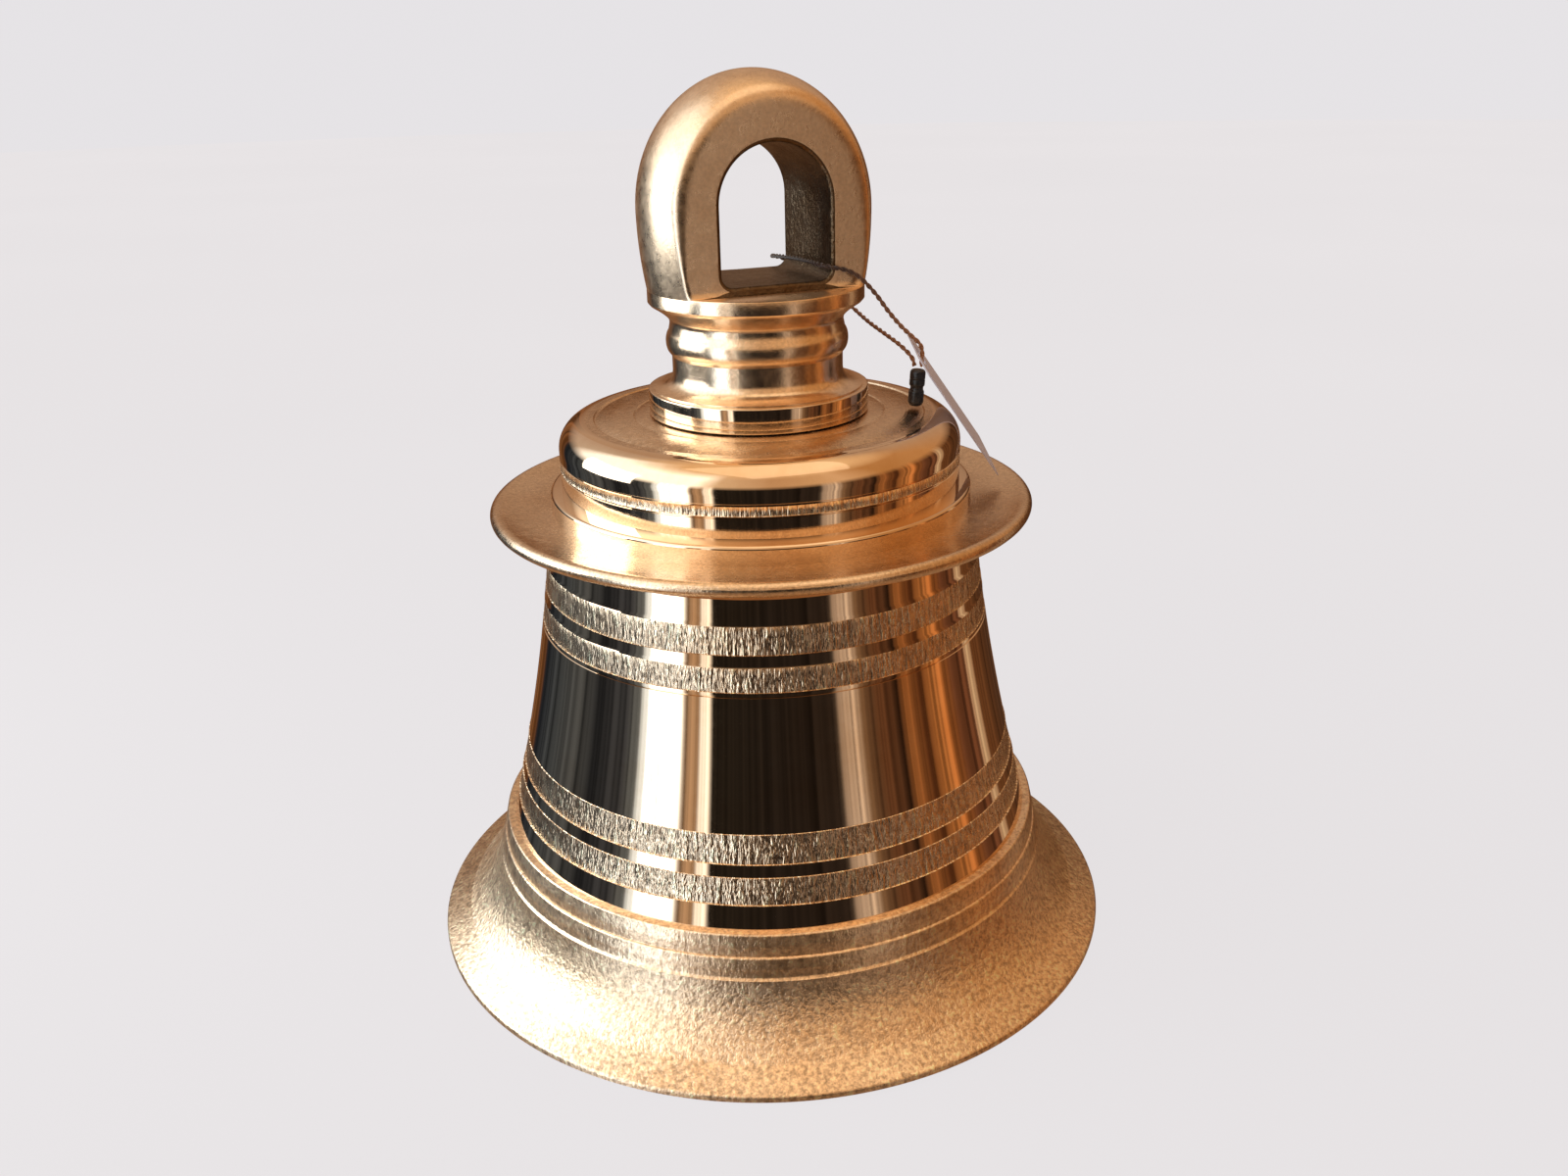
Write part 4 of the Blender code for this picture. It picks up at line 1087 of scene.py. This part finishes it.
class BELL_OT_clapper(bpy.types.Operator):
    """Forge the staple, link and rod, and turn the ball and its nut"""

    bl_idname = "bell.clapper"
    bl_label = "Clapper"

    def execute(self, context):
        s = context.scene.bell_clapper
        finish = context.scene.bell_finish
        iron = [forged_iron("iron_forged", finish)]
        high_z = top("clapper_staple").z
        staple_ring_z = foot("clapper_staple").z + s.ring_bar / 2 + s.ring_radius
        outline = [(0, s.stud_end - 1.6 * MM), (s.stud_radius - 1.2 * MM, s.stud_end - 1.6 * MM)]
        outline += threaded(s.stud_radius, s.stud_end, high_z - 0.5 * MM, s.thread_pitch, s.thread_depth)
        outline += [(s.stud_radius - 0.8 * MM, high_z), (0, high_z)]
        staple = finish_piece(
            "staple_clapper", turned(outline), iron, "bell", ["clapper_staple"], 40.0
        )
        add_ring(staple, s, staple_ring_z, iron)
        build_link(s, iron)
        self.build_rod(s, iron)
        self.build_ball(s, finish)
        hex_nut("nut_tail", "tail_nut", s.rod_radius + s.fit, [plated_steel("steel_tail", finish)], "clapper")
        return {"FINISHED"}

    def build_rod(self, s, iron):
        low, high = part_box("clapper_rod")
        ring_z = high.z - s.ring_bar / 2 - s.ring_radius
        head_z = ring_z - s.ring_radius
        seat_z = top("clapper_ball").z + s.fit
        thread_top = top("tail_nut").z + 1.0 * MM
        outline = [(0, low.z)] + threaded(s.rod_radius, low.z, thread_top, 0.8 * s.thread_pitch, s.thread_depth)
        outline += [(s.rod_radius, thread_top + 0.4 * MM), (s.rod_radius, seat_z), (s.rod_collar, seat_z)]
        outline += [(s.rod_collar, seat_z + s.rod_collar_height), (s.rod_radius, seat_z + 1.5 * s.rod_collar_height)]
        outline += [(s.rod_radius, head_z - 1.0 * MM), (s.rod_radius - 0.4 * MM, head_z), (0, head_z)]
        rod = finish_piece("rod_clapper", turned(outline), iron, "clapper", ["clapper_rod"], 40.0)
        add_ring(rod, s, ring_z, iron)

    def build_ball(self, s, finish):
        low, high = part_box("clapper_ball")
        radius = high.x
        centre_z = (low.z + high.z) / 2
        bore = s.rod_radius + s.fit
        seat = math.degrees(math.asin((high.z - centre_z) / radius))
        outline = [(bore, low.z)] + arc((0, centre_z), radius, -seat, seat, 72) + [(bore, high.z), (bore, low.z)]
        mat = bronze("ball_turned", finish, 0.28, 0.06, lines=0.5, grain=0.5, grain_scale=600.0)
        finish_piece("ball_clapper", turned(outline, 128), [mat], "clapper", ["clapper_ball"], 40.0)


# ---- Stage ----
class BELL_OT_stage(bpy.types.Operator):
    """Lay the pale floor and set the studio lights round the bell"""

    bl_idname = "bell.stage"
    bl_label = "Stage"

    def execute(self, context):
        stage = context.scene.bell_stage
        finish = context.scene.bell_finish
        context.scene.view_settings.view_transform = "Standard"
        self.lay_floor(stage, finish)
        self.surround(context.scene, finish)
        self.hang_lights()
        return {"FINISHED"}

    def lay_floor(self, stage, finish):
        bm = bmesh.new()
        bmesh.ops.create_circle(
            bm, cap_ends=True, segments=96, radius=stage.floor_radius, matrix=Matrix.Translation((0, 0, -FLOOR_DROP))
        )
        mat, tree, shader = new_material("floor_pale", {"Roughness": 0.9, "Specular IOR Level": 0.1})
        shade = noise(tree, object_point(tree), 2.0)
        pale = ramp(tree, shade, [(0.3, scaled(finish.floor, 0.99)), (0.7, scaled(finish.floor))])
        dim = ramp(tree, shade, [(0.3, 3 * (0.048,)), (0.7, 3 * (0.052,))])
        tree.links.new(dim, shader.inputs["Base Color"])
        tree.links.new(pale, shader.inputs["Emission Color"])
        shader.inputs["Emission Strength"].default_value = FLOOR_GLOW
        clear = node(tree, "BsdfTransparent")
        behind = node(tree, "NewGeometry").outputs["Backfacing"]
        both = node(tree, "MixShader", {0: behind, 1: shader.outputs[0], 2: clear.outputs[0]})
        tree.links.new(both.outputs[0], tree.nodes["Material Output"].inputs["Surface"])
        mesh = bpy.data.meshes.new("floor")
        bm.to_mesh(mesh)
        bm.free()
        mesh.materials.append(mat)
        floor = bpy.data.objects.new("floor", mesh)
        bpy.context.scene.collection.objects.link(floor)
        floor.visible_glossy = False
        floor.visible_shadow = False

    def surround(self, scene, finish):
        """A warm room: dark in front, brown to the right, glowing overhead; the backdrop stays pale."""
        world = bpy.data.worlds.new("surround")
        world.use_nodes = True
        scene.world = world
        tree = world.node_tree
        background = tree.nodes["Background"]
        x, y, height = node(tree, "SeparateXYZ", {0: node(tree, "TexCoord").outputs["Generated"]}).outputs
        around = maths(tree, "ARCTAN2", x, maths(tree, "MULTIPLY", y, -1.0))
        turned_part = span(tree, around, -math.pi, math.pi, 0.0, 1.0)
        streaks = span(tree, line_noise(tree, around, 11.0, 0.75), 0.32, 0.68, 1.4, 5.4)
        whole, upper = (
            node(tree, "VectorMath", {
                0: ramp(tree, turned_part, [((place + 180) / 360, value) for place, value in stops]), 3: strength
            }, operation="SCALE").outputs[0]
            for stops, strength in ((WALLS, streaks), (UPPER_WALLS, 2.0))
        )
        for layer, low, high in ((upper, 0.13, 0.34), (CEILING, 0.72, 0.92), (UNDERFOOT, -0.42, -0.62)):
            whole = mixed(tree, span(tree, height, low, high, 0.0, 1.0), whole, layer)
        seen = node(tree, "LightPath").outputs["Is Camera Ray"]
        tree.links.new(mixed(tree, seen, whole, finish.floor), background.inputs["Color"])

    def hang_lights(self):
        for name, azimuth, elevation, distance, width, height, power, shade in LIGHTS:
            data = bpy.data.lights.new(name, "AREA")
            data.shape = "RECTANGLE"
            data.size = width
            data.size_y = height
            data.energy = power
            data.color = shade
            light = bpy.data.objects.new(name, data)
            a, e = math.radians(azimuth), math.radians(elevation)
            away = Vector((math.sin(a) * math.cos(e), -math.cos(a) * math.cos(e), math.sin(e)))
            light.location = LIT_POINT + distance * away
            light.rotation_mode = "QUATERNION"
            light.rotation_quaternion = away.to_track_quat("Z", "Y")
            bpy.context.scene.collection.objects.link(light)


# The room by direction in degrees, from behind, round by the left, front and right: low walls, then upper ones.
WALLS = [
    (-180, (0.050, 0.022, 0.009)), (-168, (0.045, 0.018, 0.006)), (-162, (0.004, 0.005, 0.007)),
    (-140, (0.015, 0.019, 0.024)), (-122, (0.020, 0.024, 0.029)), (-108, (0.005, 0.006, 0.008)),
    (-90, (0.012, 0.014, 0.018)), (-83, (0.05, 0.06, 0.07)), (-80, (0.60, 0.72, 0.86)), (-62, (0.62, 0.70, 0.78)),
    (-60, (0.13, 0.09, 0.06)), (-53, (0.12, 0.08, 0.05)), (-52, (0.38, 0.38, 0.38)), (-48, (0.32, 0.31, 0.30)),
    (-47, (0.006, 0.005, 0.004)), (-20, (0.005, 0.004, 0.0035)), (11, (0.007, 0.005, 0.004)),
    (13, (0.14, 0.11, 0.09)), (20, (0.20, 0.16, 0.13)), (24, (0.05, 0.030, 0.017)), (33, (0.035, 0.015, 0.007)),
    (44, (0.010, 0.005, 0.003)), (48, (0.09, 0.036, 0.012)), (58, (0.020, 0.007, 0.003)),
    (66, (0.15, 0.062, 0.020)), (74, (0.12, 0.045, 0.014)), (80, (0.03, 0.012, 0.006)), (93, (0.05, 0.02, 0.01)),
    (97, (0.20, 0.15, 0.10)), (102, (0.04, 0.016, 0.006)), (132, (0.018, 0.008, 0.004)), (150, (0.06, 0.025, 0.01)),
]
UPPER_WALLS = [
    (-180, (0.26, 0.19, 0.145)), (-158, (0.30, 0.25, 0.21)), (-145, (0.80, 0.84, 0.88)), (-100, (0.95, 1.0, 1.0)),
    (-60, (0.95, 0.95, 0.95)), (-46, (0.40, 0.31, 0.22)), (-15, (0.30, 0.19, 0.11)), (10, (0.33, 0.21, 0.115)),
    (25, (0.37, 0.24, 0.14)), (50, (0.25, 0.125, 0.046)), (95, (0.27, 0.14, 0.058)), (140, (0.24, 0.165, 0.115)),
]
FLOOR_GLOW = 0.945
FLOOR_DROP = 0.2 * MM
CEILING = (0.90, 0.62, 0.36)
UNDERFOOT = (0.34, 0.20, 0.11)
LIT_POINT = Vector((0, 0, 0.09))
# Name, azimuth and elevation in degrees, distance, width, height, power, colour.
LIGHTS = [
    ("side_window", -112.0, 14.0, 0.42, 0.30, 0.22, 0.95, (0.88, 0.95, 1.0)),
    ("overhead", 10.0, 80.0, 1.6, 1.4, 1.4, 2.0, (1.0, 0.90, 0.78)),
]


# ---- Add-on ----
OPERATORS = [
    BELL_OT_camera, BELL_OT_tag, BELL_OT_shell, BELL_OT_crown, BELL_OT_fastenings, BELL_OT_clapper, BELL_OT_stage,
]


class BELL_PT_panel(bpy.types.Panel):
    """Lists the bell's steps"""

    bl_idname = "BELL_PT_panel"
    bl_label = "Temple bell"
    bl_space_type = "VIEW_3D"
    bl_region_type = "UI"
    bl_category = "Bell"

    def draw(self, context):
        for operator in OPERATORS:
            self.layout.operator(operator.bl_idname)


SETTINGS = {
    "bell_shell": BellShellSettings,
    "bell_crown": CrownSettings,
    "bell_clapper": ClapperSettings,
    "bell_tag": TagSettings,
    "bell_finish": FinishSettings,
    "bell_stage": StageSettings,
}


def register():
    for cls in [*SETTINGS.values(), *OPERATORS, BELL_PT_panel]:
        bpy.utils.register_class(cls)
    for name, cls in SETTINGS.items():
        setattr(bpy.types.Scene, name, PointerProperty(type=cls))


def unregister():
    for name in SETTINGS:
        delattr(bpy.types.Scene, name)
    for cls in reversed([*SETTINGS.values(), *OPERATORS, BELL_PT_panel]):
        bpy.utils.unregister_class(cls)


def main():
    register()
    bpy.ops.bell.camera()
    bpy.ops.bell.tag()
    bpy.ops.bell.shell()
    bpy.ops.bell.crown()
    bpy.ops.bell.fastenings()
    bpy.ops.bell.clapper()
    bpy.ops.bell.stage()


if __name__ == "__main__":
    main()
